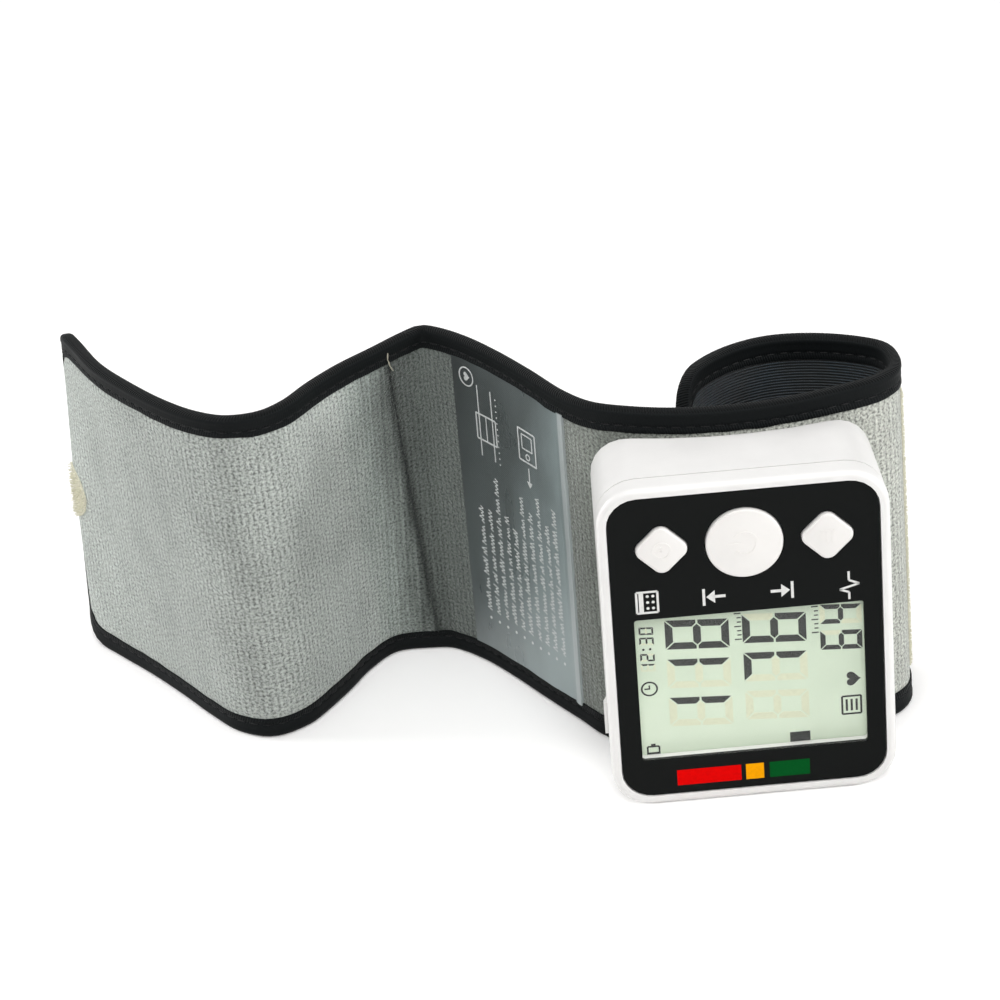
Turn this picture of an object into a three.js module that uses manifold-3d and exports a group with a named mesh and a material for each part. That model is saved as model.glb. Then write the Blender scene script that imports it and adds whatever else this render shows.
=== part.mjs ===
// Wrist blood pressure monitor with its cuff lying open.
// Millimetres, +Z up, X across the case, the front panel faces -Y.
// The origin is in the flat bottom face of the case.
import * as THREE from 'three';
import { mergeVertices } from 'three/addons/utils/BufferGeometryUtils.js';
import Module from 'manifold-3d';

const wasm = await Module();
wasm.setup();

// Case
const CASE_WIDTH = 63.4;
const CASE_HEIGHT = 80.4;
const CASE_FRONT = 15.3;          // origin to the front of the rim
const CASE_CORNER = 9;            // corner radius seen from the front
const CASE_TAPER = 0.9;           // sides and top draw in towards the back
const BACK_BOTTOM = 5.6;          // middle of the back face, at the bottom
const BACK_TOP = 8.3;             // middle of the back face, at the top
const SADDLE_RISE = 5.2;          // the back face's sides stand this far behind its middle
const BACK_ROUNDING = 1.8;
const RIM_ROUNDING = 1.3;
const WALL = 1.8;
const PARTING_DEPTH = 5.4;        // rim front to the parting line
const PARTING_GAP = 0.3;
const LIP_DEPTH = 1.7;            // rear shell's lip inside the front shell
const LIP_THICKNESS = 0.7;
const BORDER = 2.3;               // rim left round the front panel
const CLEARANCE = 0.1;            // between fixed pieces that fit together

// Front panel and display
const PANEL_RECESS = 0.3;
const PANEL_THICKNESS = 1.2;
const FRONT_PLATE = 1.6;          // front shell's plate behind the panel
const DISPLAY_SIDE = 6.7;         // case side to the display
const DISPLAY_LOW = 11.5;         // case bottom to the display
const BUTTON_ROW = 32.5;          // display to the case top, with the buttons between
const DISPLAY_X = 0.3;
const WINDOW_THICKNESS = 1;
const GLASS_MARGIN = 1.2;         // display glass beyond the visible window
const GLASS_THICKNESS = 2;
const FRAME_WALL = 1.2;
const BOARD_GAP = 4.1;            // front plate to circuit board
const BOARD_THICKNESS = 1.6;

// Buttons
const BUTTON_DROP = 15.2;         // case top to the middle of the buttons
const BUTTON_SPREAD = 17.9;
const POWER_RADIUS = 8.4;
const SMALL_SIDE = 9.2;           // square buttons, set on a corner
const SMALL_CORNER = 2.2;
const BUTTON_PROUD = 0.8;
const BUTTON_CLEARANCE = 0.25;
const BUTTON_TRAVEL = 0.6;
const BUTTON_FLANGE = 1;
const BUTTON_FLANGE_THICKNESS = 0.7;
const SWITCH_SIDE = 6;
const PLUNGER_RADIUS = 1.7;

// Batteries, size AAA
const CELL_RADIUS = 5.25;
const CELL_LENGTH = 44.5;
const CELL_PITCH = 11;
const CELL_BOTTOM = 15.4;
const CONTACT_SPACE = 1.6;        // cell end to the tray's end rib
const CONTACT_THICKNESS = 0.4;
const RIB = 1.2;

// Battery door in the left wall
const DOOR_GAP = 0.3;
const DOOR_FRONT = -8.4;
const DOOR_BACK = 4.4;
const DOOR_THICKNESS = 1.6;
const DOOR_LIP = 0.8;

// Case screws
const SCREW_INSET = 7.7;          // case side to the screws
const SCREW_LOW = 6;
const SCREW_DROP = 6.8;           // case top to the upper screws
const POST_RADIUS = 2.6;
const SCREW_RADIUS = 1;
const SCREW_HEAD_RADIUS = 1.9;
const SCREW_HEAD_HEIGHT = 1.2;

// Air system
const HOSE_RADIUS = 1.8;
const HOSE_BORE = 1.35;
const NIPPLE_RADIUS = 1.2;
const NOZZLE_X = 14;
const NOZZLE_Z = 54;
const NOZZLE_RADIUS = 1.9;
const PUMP_X = 18.5;
const PUMP_RADIUS = 5.2;

// Cuff
const CUFF_HEIGHT = 85;
const CUFF_HALF = 0.98;           // half the thickness of the cuff
const COVER = 0.5;
const BOW = 0.5;
const BLADDER = 0.3;
const LINING = 0.3;
const LAYER_GAP = 0.12;
const PRINT_THICKNESS = 0.25;
const PATCH_THICKNESS = 1.1;
const PATCH_WIDTH = 7;
const PATCH_HEIGHT = 14;
const STRIP_LENGTH = 40;          // hook strip round the loop's bend
const STRIP_MARGIN = 8;           // hook strip to the cuff's edges
const BINDING_DEPTH = 4.9;
const BINDING_WALL = 0.3;
const BINDING_GAP = 0.2;
const BINDING_CAP = 0.9;
const CUFF_CORNER = 12;
const SEAM_GAP = 0.9;             // cut between the tail and the printed part
const ROOT_GAP = 0.9;             // cut between the printed part and the fixed part
const HOOK_WIDTH = 8;
const HOOK_X = 16;

// Derived places
const HALF = CASE_WIDTH / 2;
const DISPLAY_WIDTH = CASE_WIDTH - 2 * DISPLAY_SIDE;
const DISPLAY_HEIGHT = CASE_HEIGHT - DISPLAY_LOW - BUTTON_ROW;
const DISPLAY_Z = DISPLAY_LOW + DISPLAY_HEIGHT / 2;
const BUTTON_Z = CASE_HEIGHT - BUTTON_DROP;
const SCREW_X = HALF - SCREW_INSET;
const SCREW_HIGH = CASE_HEIGHT - SCREW_DROP;
const FRONT_Y = -CASE_FRONT;
const PANEL_FRONT = FRONT_Y + PANEL_RECESS;
const PANEL_BACK = PANEL_FRONT + PANEL_THICKNESS;
const PLATE_FRONT = PANEL_BACK + CLEARANCE;
const PLATE_BACK = PLATE_FRONT + FRONT_PLATE;
const PARTING_Y = FRONT_Y + PARTING_DEPTH;
const REAR_START = PARTING_Y + PARTING_GAP;
const BOARD_FRONT = PLATE_BACK + BOARD_GAP;
const BOARD_BACK = BOARD_FRONT + BOARD_THICKNESS;
const FLANGE_FRONT = PLATE_BACK + 2 * CLEARANCE;
const FLANGE_BACK = FLANGE_FRONT + BUTTON_FLANGE_THICKNESS;
const PLUNGER_TIP = FLANGE_BACK + BUTTON_TRAVEL + CLEARANCE;
const PANEL_RADIUS = CASE_CORNER - BORDER;
const LAYER_HALF = CUFF_HALF - COVER - LAYER_GAP;

// Basic solids
function closedSolid(positions, triangles) {
  let volume = 0;
  const a = new THREE.Vector3();
  const b = new THREE.Vector3();
  const c = new THREE.Vector3();
  for (let i = 0; i < triangles.length; i += 3) {
    a.fromArray(positions, 3 * triangles[i]);
    b.fromArray(positions, 3 * triangles[i + 1]);
    c.fromArray(positions, 3 * triangles[i + 2]);
    volume += a.dot(b.cross(c));
  }
  const outward = volume > 0 ? triangles : triangles.slice().reverse();
  return new wasm.Manifold(new wasm.Mesh({
    numProp: 3,
    vertProperties: Float32Array.from(positions),
    triVerts: Uint32Array.from(outward),
  }));
}

function solidOf(geometry) {
  geometry.deleteAttribute('normal');
  geometry.deleteAttribute('uv');
  const merged = mergeVertices(geometry, 1e-4);
  return closedSolid(Array.from(merged.attributes.position.array), Array.from(merged.index.array));
}

function box(x0, x1, y0, y1, z0, z1) {
  const geometry = new THREE.BoxGeometry(x1 - x0, y1 - y0, z1 - z0);
  geometry.translate((x0 + x1) / 2, (y0 + y1) / 2, (z0 + z1) / 2);
  return solidOf(geometry);
}

function rodAlongY(radius, y0, y1, x, z, sides = 16) {
  const geometry = new THREE.CylinderGeometry(radius, radius, y1 - y0, sides);
  geometry.translate(x, (y0 + y1) / 2, z);
  return solidOf(geometry);
}

function rodAlongZ(radius, z0, z1, x, y, sides = 16) {
  const geometry = new THREE.CylinderGeometry(radius, radius, z1 - z0, sides);
  geometry.rotateX(Math.PI / 2);
  geometry.translate(x, y, (z0 + z1) / 2);
  return solidOf(geometry);
}

// A flat shape drawn in X and Z, made thick along Y
function plate(shape, y0, y1) {
  const geometry = new THREE.ExtrudeGeometry(shape, { depth: y1 - y0, bevelEnabled: false });
  geometry.rotateX(Math.PI / 2);
  geometry.translate(0, y1, 0);
  return solidOf(geometry);
}

// A flat shape drawn in X and Y, made thick along Z
function slab(shape, z0, z1) {
  const geometry = new THREE.ExtrudeGeometry(shape, { depth: z1 - z0, bevelEnabled: false });
  geometry.translate(0, 0, z0);
  return solidOf(geometry);
}

function polygon(points) {
  return new THREE.Shape(points.map(([x, y]) => new THREE.Vector2(x, y)));
}

function arc(x, z, radius, from, to, count) {
  return Array.from({ length: count + 1 }, (unused, step) => {
    const angle = from + (to - from) * step / count;
    return [x + radius * Math.cos(angle), z + radius * Math.sin(angle)];
  });
}

function roundedRectangle(x, z, width, height, radius, count) {
  const w = width / 2 - radius;
  const h = height / 2 - radius;
  const turn = Math.PI / 2;
  return polygon([
    ...arc(x + w, z + h, radius, 0, turn, count),
    ...arc(x - w, z + h, radius, turn, 2 * turn, count),
    ...arc(x - w, z - h, radius, 2 * turn, 3 * turn, count),
    ...arc(x + w, z - h, radius, 3 * turn, 4 * turn, count),
  ]);
}

// Rings with the same number of points joined into a skin, closed at both ends.
// Each four-sided patch is split along its shorter diagonal.
function loft(rings, endOutline) {
  const count = rings[0].length;
  const points = rings.flat();
  const positions = points.flat();
  const triangles = [];
  const apart = (a, b) => Math.hypot(...points[a].map((value, axis) => value - points[b][axis]));
  for (let i = 0; i + 1 < rings.length; i += 1) {
    for (let j = 0; j < count; j += 1) {
      const a = i * count + j;
      const b = i * count + (j + 1) % count;
      const c = a + count;
      const d = b + count;
      if (apart(a, d) < apart(b, c)) {
        triangles.push(a, b, d, a, d, c);
      } else {
        triangles.push(a, b, c, b, d, c);
      }
    }
  }
  const last = (rings.length - 1) * count;
  const outline = endOutline.map(([x, y]) => new THREE.Vector2(x, y));
  const clockwise = THREE.ShapeUtils.isClockWise(outline);
  for (const triangle of THREE.ShapeUtils.triangulateShape(outline, [])) {
    const [a, b, c] = clockwise ? triangle.reverse() : triangle;
    triangles.push(c, b, a, a + last, b + last, c + last);
  }
  return closedSolid(positions, triangles);
}

// Named meshes with their materials
const group = new THREE.Group();
group.name = 'wrist_blood_pressure_monitor';

const materials = {
  white: { color: 0xf2f1ee, roughness: 0.35, metalness: 0 },
  black: { color: 0x1b1d1d, roughness: 0.4, metalness: 0 },
  clear: { color: 0xeef4f0, roughness: 0.08, metalness: 0, transparent: true, opacity: 0.25 },
  glass: { color: 0xcfdccb, roughness: 0.3, metalness: 0 },
  board: { color: 0x1f5a36, roughness: 0.6, metalness: 0 },
  rubber: { color: 0x2a2a2c, roughness: 0.85, metalness: 0 },
  hose: { color: 0xd9d6cc, roughness: 0.6, metalness: 0 },
  steel: { color: 0xb9bcc0, roughness: 0.35, metalness: 1 },
  cell: { color: 0x3c6e9e, roughness: 0.4, metalness: 0.2 },
  plastic: { color: 0xd5d4cf, roughness: 0.5, metalness: 0 },
  velour: { color: 0x9aa39f, roughness: 1, metalness: 0 },
  lining: { color: 0x1d222a, roughness: 0.9, metalness: 0 },
  tape: { color: 0x17181a, roughness: 0.7, metalness: 0 },
  print: { color: 0x626b6d, roughness: 0.7, metalness: 0 },
  hook: { color: 0xe6dfc8, roughness: 0.8, metalness: 0 },
};

function piece(name, solid, material) {
  const mesh = solid.getMesh();
  const geometry = new THREE.BufferGeometry();
  const points = new Float32Array(mesh.vertProperties);
  geometry.setAttribute('position', new THREE.BufferAttribute(points, 3));
  geometry.setIndex(Array.from(mesh.triVerts));
  geometry.computeVertexNormals();
  const node = new THREE.Mesh(geometry, new THREE.MeshStandardMaterial(materials[material]));
  node.name = name;
  group.add(node);
}

// Case outline and back surface
function backY(x, z) {
  const middle = BACK_BOTTOM + (BACK_TOP - BACK_BOTTOM) * z / CASE_HEIGHT;
  return middle + SADDLE_RISE * (x / HALF) ** 2;
}

// Inset grows from the front to the back on the sides and top, so the bottom stays flat.
function taperAt(y) {
  return CASE_TAPER * (y - FRONT_Y) / (BACK_TOP - FRONT_Y);
}

const CORNER_STEPS = 6;
const EDGE_STEPS = 5;

function caseOutline(inset, taper) {
  const half = HALF - inset - taper;
  const low = inset;
  const high = CASE_HEIGHT - inset - taper;
  const radius = Math.max(CASE_CORNER - inset, 0.6);
  const corners = [
    [half - radius, high - radius],
    [radius - half, high - radius],
    [radius - half, low + radius],
    [half - radius, low + radius],
  ];
  const points = [];
  corners.forEach(([x, z], corner) => {
    for (let step = 0; step <= CORNER_STEPS; step += 1) {
      const angle = (corner + step / CORNER_STEPS) * Math.PI / 2;
      points.push([x + radius * Math.cos(angle), z + radius * Math.sin(angle)]);
    }
    if (corner % 2 === 0) {
      const [startX, startZ] = points[points.length - 1];
      for (let step = 1; step < EDGE_STEPS; step += 1) {
        points.push([startX * (1 - 2 * step / EDGE_STEPS), startZ]);
      }
    }
  });
  return points;
}

function ringAtY(inset, y) {
  return caseOutline(inset, taperAt(y)).map(([x, z]) => [x, y, z]);
}

function ringAtBack(inset, offset) {
  const flatTaper = taperAt((BACK_BOTTOM + BACK_TOP) / 2);
  return caseOutline(inset, flatTaper).map(([x, z]) => [x, backY(x, z) - offset, z]);
}

const ROUNDING_STEPS = 4;
const BACK_RINGS = [9, 17, 25];

function roundedBack(wall, count) {
  const rings = [];
  const radius = Math.max(BACK_ROUNDING - wall, 0.8);
  for (let step = 0; step <= count; step += 1) {
    const angle = step / count * Math.PI / 2;
    const inset = wall + radius * (1 - Math.cos(angle));
    rings.push(ringAtBack(inset, wall + radius * (1 - Math.sin(angle))));
  }
  for (const inset of BACK_RINGS) {
    rings.push(ringAtBack(inset, wall));
  }
  return rings;
}

// Screw places, hook places and the battery tray
const screwPlaces = [
  [-SCREW_X, SCREW_LOW],
  [SCREW_X, SCREW_LOW],
  [-SCREW_X, SCREW_HIGH],
  [SCREW_X, SCREW_HIGH],
];
const CELL_TOP = CELL_BOTTOM + CELL_LENGTH;
const CELL_Y = BOARD_BACK + CLEARANCE + CELL_RADIUS;
const CELL_LEFT_X = -HALF + WALL + CASE_TAPER + CELL_RADIUS + 1.2;
const TRAY_LOW = CELL_BOTTOM - CONTACT_SPACE;
const TRAY_HIGH = CELL_TOP + CONTACT_SPACE;
const TRAY_RIGHT = CELL_LEFT_X + CELL_PITCH + CELL_RADIUS + 2 * CLEARANCE;
const DOOR_LOW = TRAY_LOW;
const DOOR_HIGH = TRAY_HIGH + RIB;
const BOW_MARGIN = BINDING_DEPTH + 4.1;
const HOOK_LOW = (BOW_MARGIN + TRAY_LOW - RIB) / 2 - 0.6;
const HOOK_ROOM = Math.min(CASE_HEIGHT - WALL - CASE_TAPER, CUFF_HEIGHT - BOW_MARGIN);
const HOOK_HIGH = (DOOR_HIGH + HOOK_ROOM) / 2;
const hookPlaces = [
  [-HOOK_X, HOOK_LOW],
  [HOOK_X, HOOK_LOW],
  [-HOOK_X, HOOK_HIGH],
  [HOOK_X, HOOK_HIGH],
];

function wallX(y) {
  return -HALF + taperAt(y);
}

// Front shell
function makeFrontShell() {
  const seat = BORDER - CLEARANCE;
  const rings = [
    ringAtY(BACK_RINGS[1], PLATE_FRONT),
    ringAtY(seat, PLATE_FRONT),
    ringAtY(seat, FRONT_Y),
  ];
  for (let step = 0; step <= ROUNDING_STEPS; step += 1) {
    const angle = step / ROUNDING_STEPS * Math.PI / 2;
    const inset = RIM_ROUNDING * (1 - Math.sin(angle));
    rings.push(ringAtY(inset, FRONT_Y + RIM_ROUNDING * (1 - Math.cos(angle))));
  }
  rings.push(
    ringAtY(0, PARTING_Y),
    ringAtY(WALL - LIP_THICKNESS - CLEARANCE, PARTING_Y),
    ringAtY(WALL - LIP_THICKNESS - CLEARANCE, PARTING_Y - LIP_DEPTH - CLEARANCE),
    ringAtY(WALL, PARTING_Y - LIP_DEPTH - CLEARANCE),
    ringAtY(WALL, PLATE_BACK),
    ringAtY(BACK_RINGS[1], PLATE_BACK),
  );
  let shell = loft(rings, caseOutline(BACK_RINGS[1], 0));
  for (const [x, z] of screwPlaces) {
    shell = shell.add(rodAlongY(POST_RADIUS, PLATE_BACK - 0.5, BOARD_BACK, x, z));
    shell = shell.subtract(rodAlongY(SCREW_RADIUS + CLEARANCE, PLATE_BACK + 0.8, BOARD_BACK + 1, x, z, 12));
  }
  const opening = roundedRectangle(DISPLAY_X, DISPLAY_Z, DISPLAY_WIDTH + 0.4, DISPLAY_HEIGHT + 0.4, 0.8, 3);
  shell = shell.subtract(plate(opening, PLATE_FRONT - 1, PLATE_BACK + 1));
  for (const hole of buttonShapes(BUTTON_CLEARANCE)) {
    shell = shell.subtract(plate(hole, PLATE_FRONT - 1, PLATE_BACK + 1));
  }
  return shell;
}

// Button outlines: round in the middle, squares on a corner at the sides
function cornerSquare(x, grow) {
  const reach = (SMALL_SIDE / 2 + grow) * Math.SQRT2;
  const radius = SMALL_CORNER + grow;
  const centre = reach - radius * Math.SQRT2;
  const points = [];
  for (let corner = 0; corner < 4; corner += 1) {
    const angle = corner * Math.PI / 2;
    const cx = x + centre * Math.cos(angle);
    const cz = BUTTON_Z + centre * Math.sin(angle);
    points.push(...arc(cx, cz, radius, angle - Math.PI / 4, angle + Math.PI / 4, 5));
  }
  return polygon(points);
}

function roundButton(grow) {
  return polygon(arc(0, BUTTON_Z, POWER_RADIUS + grow, 0, 2 * Math.PI, 32).slice(1));
}

function buttonShapes(grow) {
  return [cornerSquare(-BUTTON_SPREAD, grow), roundButton(grow), cornerSquare(BUTTON_SPREAD, grow)];
}

function makeButton(shapeOf, x) {
  const face = plate(shapeOf(-0.25), PANEL_FRONT - BUTTON_PROUD, FLANGE_FRONT);
  const body = plate(shapeOf(0), PANEL_FRONT - BUTTON_PROUD + 0.25, FLANGE_FRONT + 0.1);
  const flange = plate(shapeOf(BUTTON_FLANGE), FLANGE_FRONT, FLANGE_BACK - 0.1);
  const stem = rodAlongY(PLUNGER_RADIUS, FLANGE_FRONT, FLANGE_BACK, x, BUTTON_Z, 12);
  return face.add(body).add(flange).add(stem);
}

function makeSwitch(x) {
  const half = SWITCH_SIDE / 2;
  const bodyFront = PLUNGER_TIP + 0.4;
  const body = box(x - half, x + half, bodyFront, BOARD_FRONT - CLEARANCE, BUTTON_Z - half, BUTTON_Z + half);
  return body.add(rodAlongY(PLUNGER_RADIUS, PLUNGER_TIP, bodyFront + 0.2, x, BUTTON_Z, 12));
}

piece('front_shell', makeFrontShell(), 'white');

function makePanel() {
  const width = CASE_WIDTH - 2 * BORDER;
  const height = CASE_HEIGHT - 2 * BORDER;
  const centre = CASE_HEIGHT / 2;
  const gap = 2 * CLEARANCE;
  const shape = roundedRectangle(0, centre, width - gap, height - gap, PANEL_RADIUS, CORNER_STEPS);
  shape.holes.push(roundedRectangle(DISPLAY_X, DISPLAY_Z, DISPLAY_WIDTH, DISPLAY_HEIGHT, 0.6, 3));
  shape.holes.push(...buttonShapes(BUTTON_CLEARANCE));
  return plate(shape, PANEL_FRONT, PANEL_BACK);
}

piece('front_panel', makePanel(), 'black');

const windowShape = roundedRectangle(
  DISPLAY_X,
  DISPLAY_Z,
  DISPLAY_WIDTH - 2 * CLEARANCE,
  DISPLAY_HEIGHT - 2 * CLEARANCE,
  0.5,
  2,
);
piece('display_window', plate(windowShape, PANEL_BACK - WINDOW_THICKNESS, PANEL_BACK), 'clear');

const GLASS_WIDTH = DISPLAY_WIDTH + 2 * GLASS_MARGIN;
const GLASS_HEIGHT = DISPLAY_HEIGHT + 2 * GLASS_MARGIN;
const GLASS_FRONT = PLATE_BACK + 2 * CLEARANCE;
const glassShape = roundedRectangle(DISPLAY_X, DISPLAY_Z, GLASS_WIDTH, GLASS_HEIGHT, 0.4, 2);
piece('display_glass', plate(glassShape, GLASS_FRONT, GLASS_FRONT + GLASS_THICKNESS), 'glass');

function makeDisplayFrame() {
  const width = GLASS_WIDTH + 4 * CLEARANCE;
  const height = GLASS_HEIGHT + 4 * CLEARANCE;
  const wall = 2 * FRAME_WALL;
  const shape = roundedRectangle(DISPLAY_X, DISPLAY_Z, width + wall, height + wall, 1.5, 3);
  shape.holes.push(roundedRectangle(DISPLAY_X, DISPLAY_Z, width, height, 0.5, 2));
  return plate(shape, PLATE_BACK + CLEARANCE, BOARD_FRONT - CLEARANCE);
}

piece('display_frame', makeDisplayFrame(), 'white');

const STRIP_Z = DISPLAY_Z + GLASS_HEIGHT / 2 - 1.6;
const STRIP_FRONT = GLASS_FRONT + GLASS_THICKNESS + CLEARANCE;
const stripEnd = DISPLAY_WIDTH / 2 - 3;
piece(
  'contact_strip',
  box(DISPLAY_X - stripEnd, DISPLAY_X + stripEnd, STRIP_FRONT, BOARD_FRONT - CLEARANCE, STRIP_Z - 1, STRIP_Z + 1),
  'rubber',
);

piece('power_button', makeButton(roundButton, 0), 'white');
piece('clock_button', makeButton((grow) => cornerSquare(-BUTTON_SPREAD, grow), -BUTTON_SPREAD), 'white');
piece('memory_button', makeButton((grow) => cornerSquare(BUTTON_SPREAD, grow), BUTTON_SPREAD), 'white');

// Circuit board, notched round the screw posts
function makeBoard() {
  const half = HALF - WALL - LIP_THICKNESS - 1;
  const notch = SCREW_X - POST_RADIUS - 0.4;
  const low = SCREW_LOW - 2;
  const high = SCREW_HIGH + 2;
  const lowStep = SCREW_LOW + POST_RADIUS + 0.4;
  const highStep = SCREW_HIGH - POST_RADIUS - 0.4;
  const shape = polygon([
    [-notch, low],
    [notch, low],
    [notch, lowStep],
    [half, lowStep],
    [half, highStep],
    [notch, highStep],
    [notch, high],
    [-notch, high],
    [-notch, highStep],
    [-half, highStep],
    [-half, lowStep],
    [-notch, lowStep],
  ]);
  return plate(shape, BOARD_FRONT, BOARD_BACK);
}

piece('circuit_board', makeBoard(), 'board');
piece('power_switch', makeSwitch(0), 'rubber');
piece('clock_switch', makeSwitch(-BUTTON_SPREAD), 'rubber');
piece('memory_switch', makeSwitch(BUTTON_SPREAD), 'rubber');

// Rear shell with posts, battery tray, door opening, hook slots and nozzle hole
function makeRearShell() {
  const lipInset = WALL - LIP_THICKNESS;
  const lipFront = PARTING_Y - LIP_DEPTH;
  const inner = roundedBack(WALL, 2).reverse();
  const rings = [
    ...inner,
    ringAtY(WALL, lipFront),
    ringAtY(lipInset, lipFront),
    ringAtY(lipInset, REAR_START),
    ringAtY(0, REAR_START),
    ...roundedBack(0, ROUNDING_STEPS),
  ];
  let shell = loft(rings, caseOutline(BACK_RINGS[BACK_RINGS.length - 1], 0));
  const postFront = BOARD_BACK + CLEARANCE;
  for (const [x, z] of screwPlaces) {
    const back = backY(x, z);
    shell = shell.add(rodAlongY(POST_RADIUS, postFront, back - WALL / 2, x, z));
    shell = shell.subtract(rodAlongY(SCREW_RADIUS + CLEARANCE, postFront - 1, back + 1, x, z, 12));
    const recess = SCREW_HEAD_HEIGHT + 2 * CLEARANCE;
    shell = shell.subtract(rodAlongY(SCREW_HEAD_RADIUS + CLEARANCE, back - recess, back + 2, x, z));
  }
  const trayLeft = CELL_LEFT_X - CELL_RADIUS + 0.4;
  const trayFront = BOARD_BACK + CLEARANCE;
  const trayBack = backY(HALF, CASE_HEIGHT);
  const tray = [
    box(TRAY_RIGHT, TRAY_RIGHT + RIB, trayFront, trayBack, TRAY_LOW - RIB, TRAY_HIGH + RIB),
    box(trayLeft, TRAY_RIGHT + RIB, trayFront, trayBack, TRAY_LOW - RIB, TRAY_LOW),
    box(trayLeft, TRAY_RIGHT + RIB, trayFront, trayBack, TRAY_HIGH, TRAY_HIGH + RIB),
  ];
  const inside = [ringAtY(WALL / 2, trayFront - 1), ...roundedBack(WALL / 2, 2)];
  const envelope = loft(inside, caseOutline(BACK_RINGS[BACK_RINGS.length - 1], 0));
  for (const rib of tray) {
    shell = shell.add(rib.intersect(envelope));
  }
  const doorHole = box(-HALF - 1, -HALF + WALL + CASE_TAPER, DOOR_FRONT, DOOR_BACK, DOOR_LOW, DOOR_HIGH);
  shell = shell.subtract(doorHole);
  for (const [x, z] of hookPlaces) {
    const half = HOOK_WIDTH / 2 + 2 * CLEARANCE;
    const slotBack = backY(x, z) + 2;
    shell = shell.subtract(box(x - half, x + half, slotBack - 6, slotBack, z - 1.2, z + 1.2));
  }
  const holeBack = backY(NOZZLE_X, NOZZLE_Z) + 2;
  return shell.subtract(rodAlongY(NOZZLE_RADIUS + 0.2, holeBack - 6, holeBack, NOZZLE_X, NOZZLE_Z));
}

piece('rear_shell', makeRearShell(), 'white');

function makeScrew(x, z) {
  const headBack = backY(x, z) - CLEARANCE;
  const headFront = headBack - SCREW_HEAD_HEIGHT;
  const head = rodAlongY(SCREW_HEAD_RADIUS, headFront, headBack, x, z, 12);
  const shank = rodAlongY(SCREW_RADIUS, PLATE_BACK + 1.4, headFront + 0.2, x, z, 10);
  const slot = box(x - 1.2, x + 1.2, headBack - 0.6, headBack + 1, z - 0.25, z + 0.25);
  return head.add(shank).subtract(slot);
}

screwPlaces.forEach(([x, z], index) => {
  piece(`case_screw_${index + 1}`, makeScrew(x, z), 'steel');
});

// Battery door: tapered plate, thumb lip, end rib and two tabs behind the wall
function makeDoor() {
  const front = DOOR_FRONT + DOOR_GAP;
  const back = DOOR_BACK - DOOR_GAP;
  const low = DOOR_LOW + DOOR_GAP;
  const high = DOOR_HIGH - DOOR_GAP;
  const inside = WALL + DOOR_THICKNESS / 2;
  let door = slab(polygon([
    [wallX(front), front],
    [wallX(front) + DOOR_THICKNESS, front],
    [wallX(back) + DOOR_THICKNESS, back],
    [wallX(back), back],
  ]), low, high);
  const lip = slab(polygon([
    [wallX(front) - DOOR_LIP, front],
    [wallX(front) + 0.5, front],
    [wallX(front + 3) + 0.5, front + 3],
    [wallX(front + 3) - 0.05, front + 3],
    [wallX(front + 1) - DOOR_LIP, front + 1],
  ]), low + 1.2, low + 9.2);
  door = door.add(lip);
  for (const y of [front + 2, back - 4]) {
    const tabInside = wallX(y) + inside + 0.4;
    const neck = box(wallX(y) + 0.9, tabInside, y, y + 2, high - 2, high - 0.6);
    const tab = box(wallX(y) + WALL + 0.35, tabInside, y, y + 2, high - 2, high + 1);
    door = door.add(neck).add(tab);
  }
  return door.add(box(wallX(0), wallX(0) + inside, front + 2, back - 2, low, low + 1.2));
}

piece('battery_door', makeDoor(), 'white');

// Batteries and contacts
function makeCell(x, up) {
  const nub = 1.9;
  const bead = 0.4;
  const profile = [
    [0, 0],
    [CELL_RADIUS - bead, 0],
    [CELL_RADIUS, bead],
    [CELL_RADIUS, CELL_LENGTH - 1 - bead],
    [CELL_RADIUS - bead, CELL_LENGTH - 1],
    [nub, CELL_LENGTH - 1],
    [nub, CELL_LENGTH],
    [0, CELL_LENGTH],
  ].map(([r, z]) => new THREE.Vector2(r, z));
  const geometry = new THREE.LatheGeometry(profile, 20);
  geometry.rotateX(up ? Math.PI / 2 : -Math.PI / 2);
  geometry.translate(x, CELL_Y, up ? CELL_BOTTOM : CELL_TOP);
  return solidOf(geometry);
}

piece('battery_1', makeCell(CELL_LEFT_X, true), 'cell');
piece('battery_2', makeCell(CELL_LEFT_X + CELL_PITCH, false), 'cell');

// A springy strip with one bulge for each cell it touches
function makeContact(x0, x1, base, towards) {
  const edge = (height) => base + towards * height;
  const spring = CONTACT_SPACE - CONTACT_THICKNESS - 0.5;
  const span = CELL_RADIUS;
  const shape = polygon([
    [CELL_Y - span, edge(0.1)],
    [CELL_Y + span - 2, edge(0.1)],
    [CELL_Y + span - 2, edge(0.1 + CONTACT_THICKNESS)],
    [CELL_Y + 2.4, edge(0.1 + CONTACT_THICKNESS)],
    [CELL_Y + 1, edge(spring + CONTACT_THICKNESS)],
    [CELL_Y - 1, edge(spring + CONTACT_THICKNESS)],
    [CELL_Y - 2.4, edge(0.1 + CONTACT_THICKNESS)],
    [CELL_Y - span, edge(0.1 + CONTACT_THICKNESS)],
  ]);
  const geometry = new THREE.ExtrudeGeometry(shape, { depth: x1 - x0, bevelEnabled: false });
  geometry.rotateX(Math.PI / 2);
  geometry.rotateZ(Math.PI / 2);
  geometry.translate(x0, 0, 0);
  return solidOf(geometry);
}

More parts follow.
